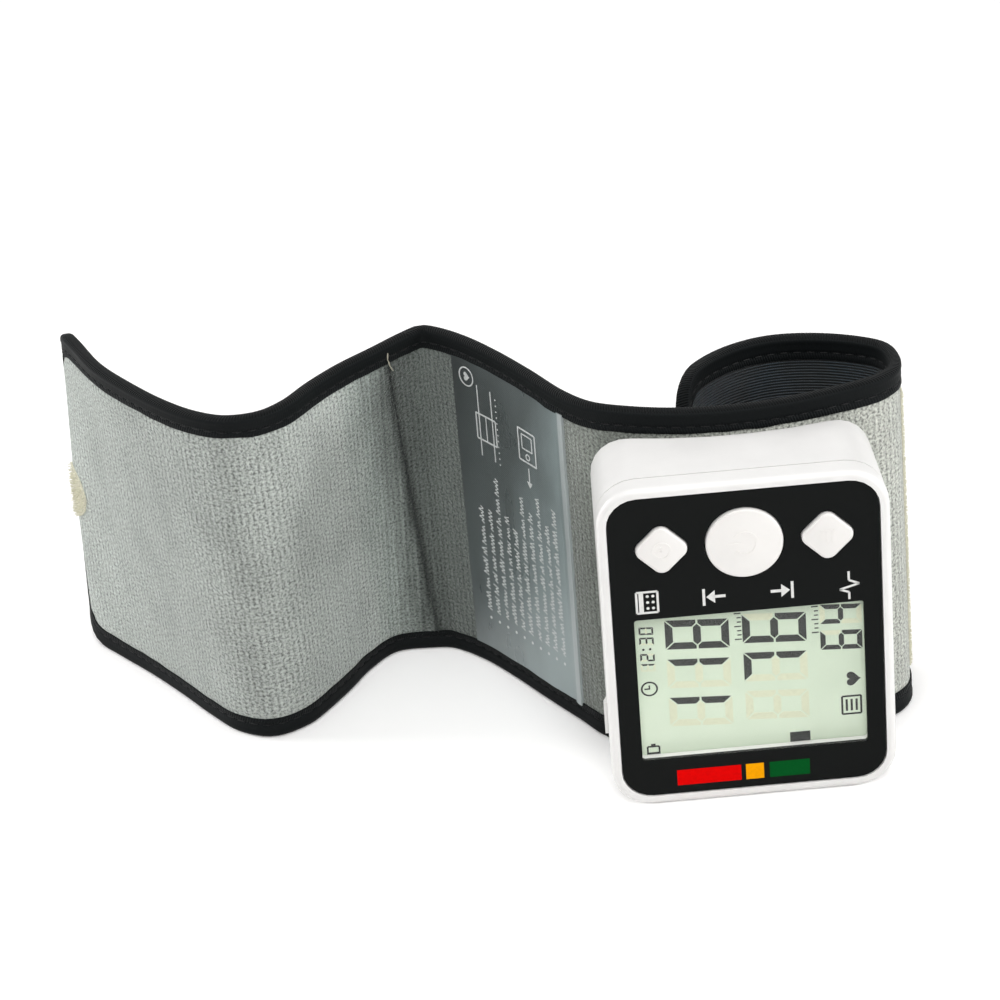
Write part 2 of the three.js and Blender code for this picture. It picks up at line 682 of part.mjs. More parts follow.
const CONTACT_HALF = 3.6;
const CELL_RIGHT_X = CELL_LEFT_X + CELL_PITCH;
piece(
  'bridge_contact',
  makeContact(CELL_LEFT_X - CONTACT_HALF, CELL_RIGHT_X + CONTACT_HALF, TRAY_LOW, 1),
  'steel',
);
piece('positive_contact', makeContact(CELL_LEFT_X - CONTACT_HALF, CELL_LEFT_X + CONTACT_HALF, TRAY_HIGH, -1), 'steel');
piece(
  'negative_contact',
  makeContact(CELL_RIGHT_X - CONTACT_HALF, CELL_RIGHT_X + CONTACT_HALF, TRAY_HIGH, -1),
  'steel',
);

// Air system: pump, valve, sensor, manifold and hoses
const PUMP_LOW = HOOK_LOW + 1.8;
const MOTOR_LENGTH = 17;
const HEAD_LENGTH = 12;
const PUMP_HIGH = PUMP_LOW + MOTOR_LENGTH + CLEARANCE + HEAD_LENGTH;
const PUMP_Y = backY(PUMP_X, PUMP_LOW) - WALL - PUMP_RADIUS - 0.5;
const NIPPLE = 2.6;
const motor = rodAlongZ(PUMP_RADIUS, PUMP_LOW + 1, PUMP_LOW + MOTOR_LENGTH, PUMP_X, PUMP_Y, 20)
  .add(rodAlongZ(2, PUMP_LOW, PUMP_LOW + 2, PUMP_X, PUMP_Y, 12));
piece('pump_motor', motor, 'steel');
const head = rodAlongZ(PUMP_RADIUS + 0.3, PUMP_LOW + MOTOR_LENGTH + CLEARANCE, PUMP_HIGH, PUMP_X, PUMP_Y, 20)
  .add(rodAlongZ(NIPPLE_RADIUS, PUMP_HIGH - 1, PUMP_HIGH + NIPPLE, PUMP_X, PUMP_Y, 12));
piece('pump_head', head, 'plastic');

const VALVE_X = 6;
const VALVE_LOW = 12;
const VALVE_HIGH = 27;
const VALVE_BACK = backY(VALVE_X, VALVE_LOW) - WALL - 0.4;
const VALVE_Y = VALVE_BACK - 4;
const valve = box(VALVE_X - 4, VALVE_X + 4, VALVE_BACK - 8, VALVE_BACK, VALVE_LOW, VALVE_HIGH)
  .add(rodAlongZ(NIPPLE_RADIUS, VALVE_HIGH - 1, VALVE_HIGH + NIPPLE, VALVE_X, VALVE_Y, 12));
piece('release_valve', valve, 'plastic');

const SENSOR_THICKNESS = 3.3;
const SENSOR_BACK = BOARD_BACK + CLEARANCE + SENSOR_THICKNESS;
const sensor = box(
  NOZZLE_X - 3.5,
  NOZZLE_X + 3.5,
  BOARD_BACK + CLEARANCE,
  SENSOR_BACK,
  NOZZLE_Z - 3.5,
  NOZZLE_Z + 3.5,
);
piece('pressure_sensor', sensor, 'rubber');

const MANIFOLD_FRONT = SENSOR_BACK + 2 * CLEARANCE;
const MANIFOLD_BACK = MANIFOLD_FRONT + 5.2;
const MANIFOLD_LOW = NOZZLE_Z - 4;
const MANIFOLD_Y = (MANIFOLD_FRONT + MANIFOLD_BACK) / 2;
const PUMP_PORT_X = PUMP_X;
const VALVE_PORT_X = NOZZLE_X - 4;
const manifold = box(NOZZLE_X - 6, NOZZLE_X + 6, MANIFOLD_FRONT, MANIFOLD_BACK, MANIFOLD_LOW, NOZZLE_Z + 4)
  .add(rodAlongZ(NIPPLE_RADIUS, MANIFOLD_LOW - NIPPLE, MANIFOLD_LOW + 1, PUMP_PORT_X, MANIFOLD_Y, 12))
  .add(rodAlongZ(NIPPLE_RADIUS, MANIFOLD_LOW - NIPPLE, MANIFOLD_LOW + 1, VALVE_PORT_X, MANIFOLD_Y, 12));
piece('air_manifold', manifold, 'plastic');

// A soft hose between two upright nipples
function makeHose(x0, y0, z0, x1, y1, z1) {
  const ring = new THREE.Shape();
  ring.absarc(0, 0, HOSE_RADIUS, 0, 2 * Math.PI);
  const bore = new THREE.Path();
  bore.absarc(0, 0, HOSE_BORE, 0, 2 * Math.PI);
  ring.holes.push(bore);
  const path = new THREE.CatmullRomCurve3([
    new THREE.Vector3(x0, y0, z0),
    new THREE.Vector3(x0, y0, z0 + NIPPLE / 2),
    new THREE.Vector3(x0, y0, z0 + NIPPLE),
    new THREE.Vector3(x1, y1, z1 - NIPPLE),
    new THREE.Vector3(x1, y1, z1 - NIPPLE / 2),
    new THREE.Vector3(x1, y1, z1),
  ]);
  const options = { steps: 10, curveSegments: 5, extrudePath: path };
  return solidOf(new THREE.ExtrudeGeometry(ring, options));
}

const hoseTop = MANIFOLD_LOW - CLEARANCE;
piece('pump_hose', makeHose(PUMP_X, PUMP_Y, PUMP_HIGH + 0.2, PUMP_PORT_X, MANIFOLD_Y, hoseTop), 'hose');
piece('valve_hose', makeHose(VALVE_X, VALVE_Y, VALVE_HIGH + 0.2, VALVE_PORT_X, MANIFOLD_Y, hoseTop), 'hose');

// Cuff: plan places of the top edge and the bottom edge, from the tail's end to the loop's end.
// Places left of the case count from its left side, the others from its middle or right side.
const left = (x, y) => [-HALF + x, y];
const right = (x, y) => [HALF + x, y];
const stations = [
  { top: left(-114.6, 82.4), bottom: left(-117.9, 84.8) },
  { top: left(-115.4, 78.6), bottom: left(-118.2, 80.6) },
  { top: left(-115.1, 74.8), bottom: left(-116.9, 76.4) },
  { top: left(-112.3, 67.7), bottom: left(-111.2, 69) },
  { top: left(-107.6, 56.7), bottom: left(-103.3, 59.2) },
  { top: left(-100.5, 46), bottom: left(-95.8, 48.8) },
  { top: left(-92.3, 35.8), bottom: left(-88.5, 38) },
  { top: left(-85.3, 29.4), bottom: left(-82.7, 30.9) },
  { top: left(-78.5, 26), bottom: left(-75.6, 27.7) },
  { top: left(-70.7, 26.6), bottom: left(-68.1, 31.2) },
  { top: left(-65.1, 30.6), bottom: left(-63.8, 36.3) },
  { top: left(-59.1, 38.4), bottom: left(-58.3, 44.5) },
  { top: left(-52.3, 45.8), bottom: left(-53.2, 53) },
  { top: left(-44.6, 52.4), bottom: left(-46.3, 60) },
  { top: left(-37.2, 58.9), bottom: left(-36.8, 60.4) },
  { top: left(-33.5, 61.3), bottom: left(-32.9, 59.8) },
  { top: left(-30, 59.5), bottom: left(-29.5, 57.7) },
  { top: left(-24.3, 54.2), bottom: left(-23.8, 52) },
  { top: left(-17.6, 45.5), bottom: left(-17.4, 43.2) },
  { top: left(-11.1, 35.5), bottom: left(-11, 33.3) },
  { top: left(-3.8, 23.4), bottom: left(-3.8, 22.6) },
  { top: left(2, 17.3), bottom: left(2.4, 13.7) },
  { top: left(9.7, 13.8), bottom: left(10.7, 10.2) },
  { top: left(19.7, 11.1), bottom: left(20.7, 8.5) },
  { top: [0, 10.2], bottom: [1, 8.1] },
  { top: right(-19.2, 11.4), bottom: right(-17.7, 8.6) },
  { top: right(-6.7, 14.7), bottom: right(-6.2, 11) },
  { top: right(1.8, 17.9), bottom: right(1.8, 12.4) },
  { top: right(6, 22), bottom: right(5.9, 16.6) },
  { top: right(6.9, 27), bottom: right(7.1, 22) },
  { top: right(5.3, 33), bottom: right(5.8, 28.6) },
  { top: right(0.3, 36.8), bottom: right(0.8, 33) },
  { top: right(-9.7, 40.4), bottom: right(-9.2, 36.7) },
  { top: right(-19.7, 41), bottom: right(-19.2, 37.2) },
  { top: right(-28.7, 37.8), bottom: right(-28.5, 34.4) },
  { top: right(-35.9, 31.8), bottom: right(-36.1, 28.8) },
  { top: right(-39.9, 25.2), bottom: right(-40.3, 22.6) },
  { top: right(-41.5, 19.2), bottom: right(-41.9, 16.8) },
];
const SEAM_STATION = 14;
const ROOT_STATION = 20;
const LAST_STATION = stations.length - 1;

function edgeCurve(side, z) {
  const points = stations.map((station) => new THREE.Vector3(station[side][0], station[side][1], z));
  return new THREE.CatmullRomCurve3(points, false, 'centripetal');
}

const topEdge = edgeCurve('top', CUFF_HEIGHT);
const bottomEdge = edgeCurve('bottom', 0);

// A place on the cuff: share of the stations along it, height z, offset towards the velour side.
// Every place at one share and offset is on one straight line between the two edges.
function edgePlace(curve, share, offset) {
  const place = curve.getPoint(share);
  const along = curve.getTangent(share);
  return place.add(new THREE.Vector3(along.y, -along.x, 0).setLength(offset));
}

function cuffPoint(share, z, offset) {
  const low = edgePlace(bottomEdge, share, offset);
  return low.lerp(edgePlace(topEdge, share, offset), z / CUFF_HEIGHT).toArray();
}

// Length along the middle of the cuff, and the share that belongs to a length
const LENGTH_STEPS = 600;
const lengths = [0];
for (let step = 1; step <= LENGTH_STEPS; step += 1) {
  const [from, to] = [step - 1, step].map((value) => cuffPoint(value / LENGTH_STEPS, CUFF_HEIGHT / 2, 0));
  lengths.push(lengths[step - 1] + Math.hypot(to[0] - from[0], to[1] - from[1]));
}
const CUFF_LENGTH = lengths[LENGTH_STEPS];

function lengthAt(station) {
  return lengths[Math.round(station / LAST_STATION * LENGTH_STEPS)];
}

function shareAt(length) {
  const wanted = Math.min(Math.max(length, 0), CUFF_LENGTH);
  let step = lengths.findIndex((value) => value >= wanted);
  step = Math.max(step, 1);
  const part = (wanted - lengths[step - 1]) / (lengths[step] - lengths[step - 1]);
  return (step - 1 + part) / LENGTH_STEPS;
}

const SEAM = lengthAt(SEAM_STATION);
const ROOT = lengthAt(ROOT_STATION);

// Lengths that every sheet and tape shares, so that neighbours stay parallel in the bends.
// They are closer together at the tail's curled end and at the loop's end.
const endLengths = [2, 3.5, 5.5, 7.5, 9.5, 12, 14.5, 17, 19.5, 22, 24.5];
const FINE_END = 26;
const stationLengths = Array.from({ length: 2 * LAST_STATION + 1 }, (unused, index) => lengthAt(index / 2));
const shared = [
  ...endLengths,
  ...stationLengths.filter((length) => length > FINE_END && length < CUFF_LENGTH - FINE_END / 2),
  ...endLengths.slice(0, 6).map((length) => CUFF_LENGTH - length).reverse(),
];

function steps(from, to) {
  const between = shared.filter((length) => length > from + 0.5 && length < to - 0.5);
  return [from, ...between, to];
}

// How far a rounded corner eats into the height, at a distance from the cuff's end
function cornerRise(distance, radius) {
  if (distance >= radius) {
    return 0;
  }
  return radius - Math.sqrt(radius * radius - (radius - distance) ** 2);
}

// A sheet of the cuff from one length to another, between two offsets
function sheet(from, to, margin, near, far, roundedEnd) {
  const radius = Math.max(CUFF_CORNER - margin, 1);
  const rings = steps(from, to).map((length) => {
    let rise = 0;
    if (roundedEnd === 'start') {
      rise = cornerRise(length - from, radius);
    } else if (roundedEnd === 'end') {
      rise = cornerRise(to - length, radius);
    }
    const low = margin + Math.min(rise, radius);
    const high = CUFF_HEIGHT - low;
    const share = shareAt(length);
    return [
      cuffPoint(share, low, near),
      cuffPoint(share, high, near),
      cuffPoint(share, high, far),
      cuffPoint(share, low, far),
    ];
  });
  return loft(rings, [[0, 0], [0, 1], [1, 1], [1, 0]]);
}

// Edge binding: a folded tape swept along a path of [length, height, inward length, inward height]
const BINDING_OUT = CUFF_HALF + BINDING_GAP + BINDING_WALL;
const BINDING_IN = CUFF_HALF + BINDING_GAP;

function bindingSection(fine) {
  const between = endLengths.filter((depth) => depth > BINDING_CAP && depth < BINDING_DEPTH);
  const outer = fine ? [...between, BINDING_DEPTH] : [BINDING_DEPTH];
  const inner = [BINDING_CAP, ...outer];
  return [
    [-BINDING_OUT, 0.8],
    [-BINDING_OUT + 0.8, 0],
    [BINDING_OUT - 0.8, 0],
    [BINDING_OUT, 0.8],
    ...outer.map((depth) => [BINDING_OUT, depth]),
    ...inner.slice().reverse().map((depth) => [BINDING_IN, depth]),
    ...inner.map((depth) => [-BINDING_IN, depth]),
    ...outer.slice().reverse().map((depth) => [-BINDING_OUT, depth]),
  ];
}

function binding(path, fine) {
  const section = bindingSection(fine);
  const rings = path.map(([length, z, inLength, inZ]) => section.map(([offset, depth]) => (
    cuffPoint(shareAt(length + inLength * depth), z + inZ * depth, offset)
  )));
  return loft(rings, section);
}

function edgeBinding(from, to, top) {
  const z = top ? CUFF_HEIGHT : 0;
  return binding(steps(from, to).map((length) => [length, z, 0, top ? -1 : 1]), false);
}

// The tape round one end of the cuff, with both rounded corners
function endBinding(end, direction) {
  const path = [];
  const count = 5;
  for (let step = 0; step <= count; step += 1) {
    const angle = step / count * Math.PI / 2;
    const length = end + direction * CUFF_CORNER * (1 - Math.sin(angle));
    const z = CUFF_CORNER * (1 - Math.cos(angle));
    path.push([length, CUFF_HEIGHT - z, direction * Math.sin(angle), -Math.cos(angle)]);
  }
  const lower = path.map(([length, z, inLength, inZ]) => [length, CUFF_HEIGHT - z, inLength, -inZ]);
  return binding([...path, ...lower.reverse()], true);
}

const SHEET_MARGIN = BINDING_CAP + BINDING_GAP;
const CORNER_CUT = 0.15;
const tailEnd = SEAM - SEAM_GAP / 2;
const printStart = SEAM + SEAM_GAP / 2;
const printEnd = ROOT - ROOT_GAP / 2;
const loopStart = ROOT + ROOT_GAP / 2;
const loopEnd = CUFF_LENGTH - SHEET_MARGIN;
const HALF_GAP = LAYER_GAP / 2;

// Tail of the cuff
piece('tail_cover', sheet(SHEET_MARGIN, tailEnd, SHEET_MARGIN, HALF_GAP, CUFF_HALF, 'start'), 'velour');
piece('tail_lining', sheet(SHEET_MARGIN, tailEnd, SHEET_MARGIN, -CUFF_HALF, -HALF_GAP, 'start'), 'lining');
piece('tail_binding_top', edgeBinding(CUFF_CORNER + CORNER_CUT, tailEnd, true), 'tape');
piece('tail_binding_bottom', edgeBinding(CUFF_CORNER + CORNER_CUT, tailEnd, false), 'tape');
piece('tail_binding_end', endBinding(0, 1), 'tape');

function makePatch() {
  const start = BINDING_DEPTH + 0.6;
  const middle = CUFF_HEIGHT / 2;
  const radius = PATCH_HEIGHT / 2;
  const near = CUFF_HALF + LAYER_GAP;
  const far = near + PATCH_THICKNESS;
  const end = start + PATCH_WIDTH;
  const rings = steps(start, end).map((length) => {
    const rise = Math.min(cornerRise(end - length, radius), radius - 0.8);
    const low = middle - radius + rise;
    const high = middle + radius - rise;
    const share = shareAt(length);
    return [
      cuffPoint(share, low, near),
      cuffPoint(share, high, near),
      cuffPoint(share, high, far),
      cuffPoint(share, low, far),
    ];
  });
  return loft(rings, [[0, 0], [0, 1], [1, 1], [1, 0]]);
}

piece('hook_patch', makePatch(), 'hook');

// Printed part between the seam and the case
piece('print_cover', sheet(printStart, printEnd, SHEET_MARGIN, HALF_GAP, CUFF_HALF), 'velour');
piece('print_lining', sheet(printStart, printEnd, SHEET_MARGIN, -CUFF_HALF, -HALF_GAP), 'lining');
piece('print_binding_top', edgeBinding(printStart, printEnd, true), 'tape');
piece('print_binding_bottom', edgeBinding(printStart, printEnd, false), 'tape');
const printNear = CUFF_HALF + LAYER_GAP;
const printLabel = sheet(
  printStart + 14,
  printEnd - 1.5,
  BINDING_DEPTH + 0.4,
  printNear,
  printNear + PRINT_THICKNESS,
);
piece('print_panel', printLabel, 'print');

// Fixed part behind the case, and the loop
let loopCover = sheet(loopStart, loopEnd, SHEET_MARGIN, CUFF_HALF - COVER, CUFF_HALF, 'end');
const bowStart = lengthAt(ROOT_STATION + 1.5);
const bowEnd = lengthAt(LAST_STATION - 2);
let bow = sheet(bowStart, bowEnd, BOW_MARGIN, LAYER_HALF - BOW, LAYER_HALF);
for (const [x, z] of hookPlaces) {
  const half = HOOK_WIDTH / 2;
  const back = backY(x, z);
  const reach = back + 4.6;
  const inner = backY(HOOK_X - half, z) - WALL - 0.2;
  loopCover = loopCover.subtract(box(x - half - 0.3, x + half + 0.3, back - 2, reach, z - 1.1, z + 1.1));
  const tongue = box(x - half, x + half, inner - 0.9, reach, z - 0.8, z + 0.8);
  const latch = box(x - half, x + half, inner - 0.9, inner, z - 0.8, z + 1.8);
  const outside = sheet(loopStart, loopEnd, 1, LAYER_HALF - BOW / 2, 14);
  bow = bow.add(tongue.add(latch).intersect(outside));
}
const nozzleBack = backY(NOZZLE_X, NOZZLE_Z) + 4;
loopCover = loopCover.subtract(rodAlongY(NOZZLE_RADIUS + 0.3, 0, nozzleBack, NOZZLE_X, NOZZLE_Z));
bow = bow.subtract(rodAlongY(NOZZLE_RADIUS + 0.3, 0, nozzleBack, NOZZLE_X, NOZZLE_Z));
piece('loop_cover', loopCover, 'velour');
piece('cuff_bow', bow, 'plastic');
const bladderFar = LAYER_HALF - BOW - LAYER_GAP;
piece(
  'air_bladder',
  sheet(lengthAt(ROOT_STATION + 2), lengthAt(LAST_STATION - 3), BINDING_DEPTH + 4, bladderFar - BLADDER, bladderFar),
  'rubber',
);
const stripStart = lengthAt(28.6);
const stripNear = CUFF_HALF + LAYER_GAP;
piece(
  'loop_hook_strip',
  sheet(stripStart, stripStart + STRIP_LENGTH, STRIP_MARGIN, stripNear, stripNear + PATCH_THICKNESS),
  'hook',
);
piece('loop_lining', sheet(loopStart, loopEnd, SHEET_MARGIN, -CUFF_HALF, LINING - CUFF_HALF, 'end'), 'lining');
const cornerStart = CUFF_LENGTH - CUFF_CORNER - CORNER_CUT;
piece('loop_binding_top', edgeBinding(loopStart, cornerStart, true), 'tape');
piece('loop_binding_bottom', edgeBinding(loopStart, cornerStart, false), 'tape');
piece('loop_binding_end', endBinding(CUFF_LENGTH, -1), 'tape');

// Nozzle from the bladder through the bow, the cover and the case into the manifold
const nozzleReach = rodAlongY(NOZZLE_RADIUS, MANIFOLD_BACK + CLEARANCE, nozzleBack, NOZZLE_X, NOZZLE_Z);
const infrontOfBladder = sheet(loopStart, loopEnd, 1, bladderFar + 2 * CLEARANCE, 20);
piece('cuff_nozzle', nozzleReach.intersect(infrontOfBladder), 'hose');

export default group;
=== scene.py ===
import bmesh
import bpy
import math
import random
from mathutils import Matrix, Vector
from mathutils import noise
import numpy as np


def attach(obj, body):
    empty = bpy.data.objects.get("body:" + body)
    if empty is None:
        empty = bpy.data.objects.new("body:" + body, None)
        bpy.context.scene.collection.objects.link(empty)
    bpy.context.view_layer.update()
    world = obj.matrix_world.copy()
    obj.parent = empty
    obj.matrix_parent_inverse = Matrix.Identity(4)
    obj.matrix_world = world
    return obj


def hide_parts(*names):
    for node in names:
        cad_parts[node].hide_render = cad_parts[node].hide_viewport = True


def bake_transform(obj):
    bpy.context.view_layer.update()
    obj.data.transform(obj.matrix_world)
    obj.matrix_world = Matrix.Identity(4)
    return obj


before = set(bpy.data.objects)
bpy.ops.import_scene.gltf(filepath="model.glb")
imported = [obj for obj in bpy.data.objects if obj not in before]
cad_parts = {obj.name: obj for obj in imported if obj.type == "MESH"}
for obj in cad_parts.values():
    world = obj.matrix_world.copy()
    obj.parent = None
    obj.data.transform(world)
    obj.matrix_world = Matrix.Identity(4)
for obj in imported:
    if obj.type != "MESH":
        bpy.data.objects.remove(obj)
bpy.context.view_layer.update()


# Case shells and battery door
# The white case is two ABS mouldings with satin faces, screwed together from behind at a fine parting line.
# The door in its left side is the same plastic, held by two tabs behind the wall and opened by a thumb lip.
def node(material, kind, inputs, **settings):
    """One shader node, with its settings, its values and its links made."""
    made = material.node_tree.nodes.new(kind)
    for setting, value in settings.items():
        setattr(made, setting, value)
    for socket, value in inputs.items():
        if isinstance(value, bpy.types.NodeSocket):
            material.node_tree.links.new(value, made.inputs[socket])
        else:
            made.inputs[socket].default_value = value
    return made


def surface(name, values):
    """A new material and its shader, with the values that are the same all over."""
    material = bpy.data.materials.new(name)
    material.use_nodes = True
    shader = material.node_tree.nodes["Principled BSDF"]
    for socket, value in values.items():
        shader.inputs[socket].default_value = value
    return material, shader


def feed(material, shader, sockets):
    """Links what changes over the surface to the shader."""
    for socket, value in sockets.items():
        material.node_tree.links.new(value, shader.inputs[socket])


def ramp(material, factor, *stops):
    """Colours along a factor, each stop a place and a colour."""
    made = node(material, "ShaderNodeValToRGB", {"Fac": factor})
    elements = made.color_ramp.elements
    elements.remove(elements[1])
    elements[0].position = stops[0][0]
    elements[0].color = (*stops[0][1], 1)
    for place, colour in stops[1:]:
        element = elements.new(place)
        element.color = (*colour, 1)
    return made.outputs["Color"]


def grey(level):
    return (level, level, level)


def shade(colour, share):
    return tuple(channel * share for channel in colour)


def clouds(material, place, scale, detail=3, roughness=0.5):
    """Soft noise at a scale of so many lumps a metre."""
    inputs = {"Vector": place, "Scale": scale, "Detail": detail, "Roughness": roughness}
    return node(material, "ShaderNodeTexNoise", inputs).outputs["Fac"]


def spread(material, value, low, high):
    """A value from 0 to 1 spread from low to high."""
    inputs = {"Value": value, "To Min": low, "To Max": high}
    return node(material, "ShaderNodeMapRange", inputs).outputs["Result"]


def relief(material, height, depth, strength=1.0):
    inputs = {"Height": height, "Distance": depth, "Strength": strength}
    return node(material, "ShaderNodeBump", inputs).outputs["Normal"]


def object_place(material):
    return node(material, "ShaderNodeTexCoord", {}).outputs["Object"]


def moulded_plastic(name, colour, roughness, grain, shine=0.5):
    """Injection-moulded plastic: faint clouding, uneven gloss and a fine eroded grain."""
    material, shader = surface(name, {"IOR": 1.5, "Specular IOR Level": shine})
    place = object_place(material)
    cloud = clouds(material, place, 110, 4)
    erosion = clouds(material, place, 3200, 2)
    feed(material, shader, {
        "Base Color": ramp(material, cloud, (0.3, shade(colour, 0.95)), (0.7, colour)),
        "Roughness": spread(material, cloud, roughness - 0.08, roughness + 0.08),
        "Normal": relief(material, erosion, 0.00004, grain),
    })
    return material


def finished(shape, name, material, crease=35):
    """Turns a bmesh into a piece at the origin, smooth apart from edges sharper than the crease."""
    mesh = bpy.data.meshes.new(name)
    shape.to_mesh(mesh)
    shape.free()
    mesh.materials.append(material)
    mesh.shade_smooth()
    mesh.set_sharp_from_angle(angle=math.radians(crease))
    piece = bpy.data.objects.new(name, mesh)
    bpy.context.scene.collection.objects.link(piece)
    return piece


SAME_PLACE = 0.000002
SAME_PLANE = 0.004
SHARP_EDGE = 40


def moulded_copy(cad_name, name, material, rounding):
    """A moulding of the CAD shape: faces joined, curves smooth, edges rounded as a tool leaves them."""
    shape = bmesh.new()
    shape.from_mesh(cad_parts[cad_name].data)
    bmesh.ops.remove_doubles(shape, verts=shape.verts[:], dist=SAME_PLACE)
    bmesh.ops.dissolve_limit(shape, angle_limit=SAME_PLANE, verts=shape.verts[:], edges=shape.edges[:])
    piece = finished(shape, name, material)
    edges = piece.modifiers.new("rounded edges", "BEVEL")
    edges.width = rounding
    edges.segments = 2
    edges.limit_method = "ANGLE"
    edges.angle_limit = math.radians(SHARP_EDGE)
    edges.miter_outer = "MITER_ARC"
    piece.modifiers.new("flat faces", "WEIGHTED_NORMAL").keep_sharp = True
    return piece


def fit(piece, body, slot, *cad_names):
    """Says which body the piece moves with, and hides the CAD nodes that it stands for; the slot is not
    used.
    """
    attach(piece, body)
    if cad_names:
        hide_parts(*cad_names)


WHITE_ABS = (0.80, 0.79, 0.775)
CASE_EDGE = 0.00018
CASE_MOULDINGS = {
    "front_shell": ("case_front", "monitor"),
    "rear_shell": ("case_back", "monitor"),
    "battery_door": ("door", "battery_door"),
}
case_plastic = moulded_plastic("case_white_abs", WHITE_ABS, 0.36, 0.25)
for shell_name, (piece_name, body_name) in CASE_MOULDINGS.items():
    shell = moulded_copy(shell_name, piece_name, case_plastic, CASE_EDGE)
    fit(shell, body_name, "case_white", shell_name)


# Screws, cells and their contacts
# Four self-tapping steel screws close the case, and two sleeved cells sit between sprung steel contacts.
# They are turned, stamped and rolled metal, bright with a slightly uneven finish.
def stretched(material, place, along, up, through=1):
    """A place stretched for a pattern that is finer one way than another."""
    inputs = {"Vector": place, "Scale": (along, up, through)}
    return node(material, "ShaderNodeMapping", inputs).outputs["Vector"]


def brushed_metal(name, colour, roughness):
    """Metal with fine upright streaks and an uneven shine."""
    material, shader = surface(name, {"Metallic": 1.0})
    grain = clouds(material, stretched(material, object_place(material), 900, 900, 120), 2, 3)
    feed(material, shader, {
        "Base Color": ramp(material, grain, (0.25, shade(colour, 0.8)), (0.75, colour)),
        "Roughness": spread(material, grain, roughness - 0.1, roughness + 0.1),
        "Normal": relief(material, grain, 0.00003, 0.3),
    })
    return material


def dress_nodes(material, *cad_names):
    """Gives CAD nodes that stay as they are their material."""
    for cad_name in cad_names:
        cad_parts[cad_name].material_slots[0].material = material


bright_steel = brushed_metal("plated_steel", (0.62, 0.61, 0.58), 0.32)
dress_nodes(bright_steel, "case_screw_1", "case_screw_2", "case_screw_3", "case_screw_4")
dress_nodes(bright_steel, "bridge_contact", "positive_contact", "negative_contact")


def axes(material, place):
    """The x, y and z of a place."""
    parts = node(material, "ShaderNodeSeparateXYZ", {"Vector": place}).outputs
    return parts["X"], parts["Y"], parts["Z"]


def progress(material, value, start, end, full=1.0):
    """How far a value has come from start to end, as 0 to full."""
    inputs = {"Value": value, "From Min": start, "From Max": end, "To Max": full}
    return node(material, "ShaderNodeMapRange", inputs).outputs["Result"]


CELL_LOW = 0.0152
CELL_HIGH = 0.0602
CELL_STEEL = (0.45, 0.44, 0.42)


def sleeved_cell(name):
    """A shrink sleeve in two plain colours, with steel showing at the ends."""
    material, shader = surface(name, {"Coat Weight": 0.3})
    place = object_place(material)
    _, _, height = axes(material, place)
    cloud = clouds(material, place, 300)
    bands = ramp(
        material,
        progress(material, height, CELL_LOW, CELL_HIGH),
        (0.0, CELL_STEEL),
        (0.03, (0.05, 0.06, 0.07)),
        (0.68, (0.04, 0.05, 0.06)),
        (0.7, (0.42, 0.28, 0.09)),
        (0.97, (0.45, 0.30, 0.10)),
        (0.99, CELL_STEEL),
    )
    feed(material, shader, {
        "Base Color": bands,
        "Roughness": spread(material, cloud, 0.25, 0.4),
        "Normal": relief(material, cloud, 0.00003, 0.3),
    })
    return material


dress_nodes(sleeved_cell("cell_sleeve"), "battery_1", "battery_2")


# Pump, valve, sensor and hoses
# A small motor pump, a release valve and a pressure sensor share one moulded manifold in the case.
# Soft silicone hoses join them, pushed over their nipples.
dress_nodes(bright_steel, "pump_motor", "release_valve")
inner_plastic = moulded_plastic("inner_plastic", (0.09, 0.09, 0.095), 0.5, 0.3)
dress_nodes(inner_plastic, "pump_head", "air_manifold", "cuff_nozzle", "cuff_bow", "pressure_sensor")


def soft_rubber(name, colour, roughness):
    """Rubber or silicone with a faint dusty bloom."""
    material, shader = surface(name, {"IOR": 1.45})
    dust = clouds(material, object_place(material), 700, 5)
    feed(material, shader, {
        "Base Color": ramp(material, dust, (0.35, shade(colour, 0.85)), (0.7, colour)),
        "Roughness": spread(material, dust, roughness - 0.1, roughness + 0.1),
        "Normal": relief(material, dust, 0.00004, 0.4),
    })
    return material


HOSE_EDGE = 0.0001
hose_silicone = soft_rubber("hose_silicone", (0.55, 0.56, 0.54), 0.5)
for hose_name in ("pump_hose", "valve_hose"):
    hose = moulded_copy(hose_name, hose_name + "_soft", hose_silicone, HOSE_EDGE)
    fit(hose, "monitor", "hose_soft", hose_name)


# Circuit board and switches
# A green glass-fibre board with copper tracks under its lacquer, and three snap switches under the buttons.
# A striped rubber strip carries the display's signals to it.
def lacquered_board(name):
    """Green lacquer over a grid of copper tracks."""
    material, shader = surface(name, {"Coat Weight": 0.4})
    place = object_place(material)
    upright = {"Vector": place, "Rotation": (math.radians(90), 0, 0)}
    tracks = node(material, "ShaderNodeTexBrick", {
        "Vector": node(material, "ShaderNodeMapping", upright).outputs["Vector"],
        "Color1": (0.010, 0.085, 0.035, 1),
        "Color2": (0.012, 0.11, 0.045, 1),
        "Mortar": (0.03, 0.17, 0.07, 1),
        "Scale": 260,
        "Mortar Size": 0.03,
    })
    cloud = clouds(material, place, 500)
    feed(material, shader, {
        "Base Color": tracks.outputs["Color"],
        "Roughness": spread(material, cloud, 0.25, 0.45),
        "Normal": relief(material, tracks.outputs["Fac"], 0.00004, 0.4),
    })
    return material


dress_nodes(lacquered_board("board_green"), "circuit_board")
dress_nodes(inner_plastic, "power_switch", "clock_switch", "memory_switch")


def reckon(material, operation, first, second=0.0):
    """The result of one sum."""
    return node(material, "ShaderNodeMath", {0: first, 1: second}, operation=operation).outputs[0]


# How fast the stripes follow each other, in radians a metre
STRIPE_TURN = 12000.0


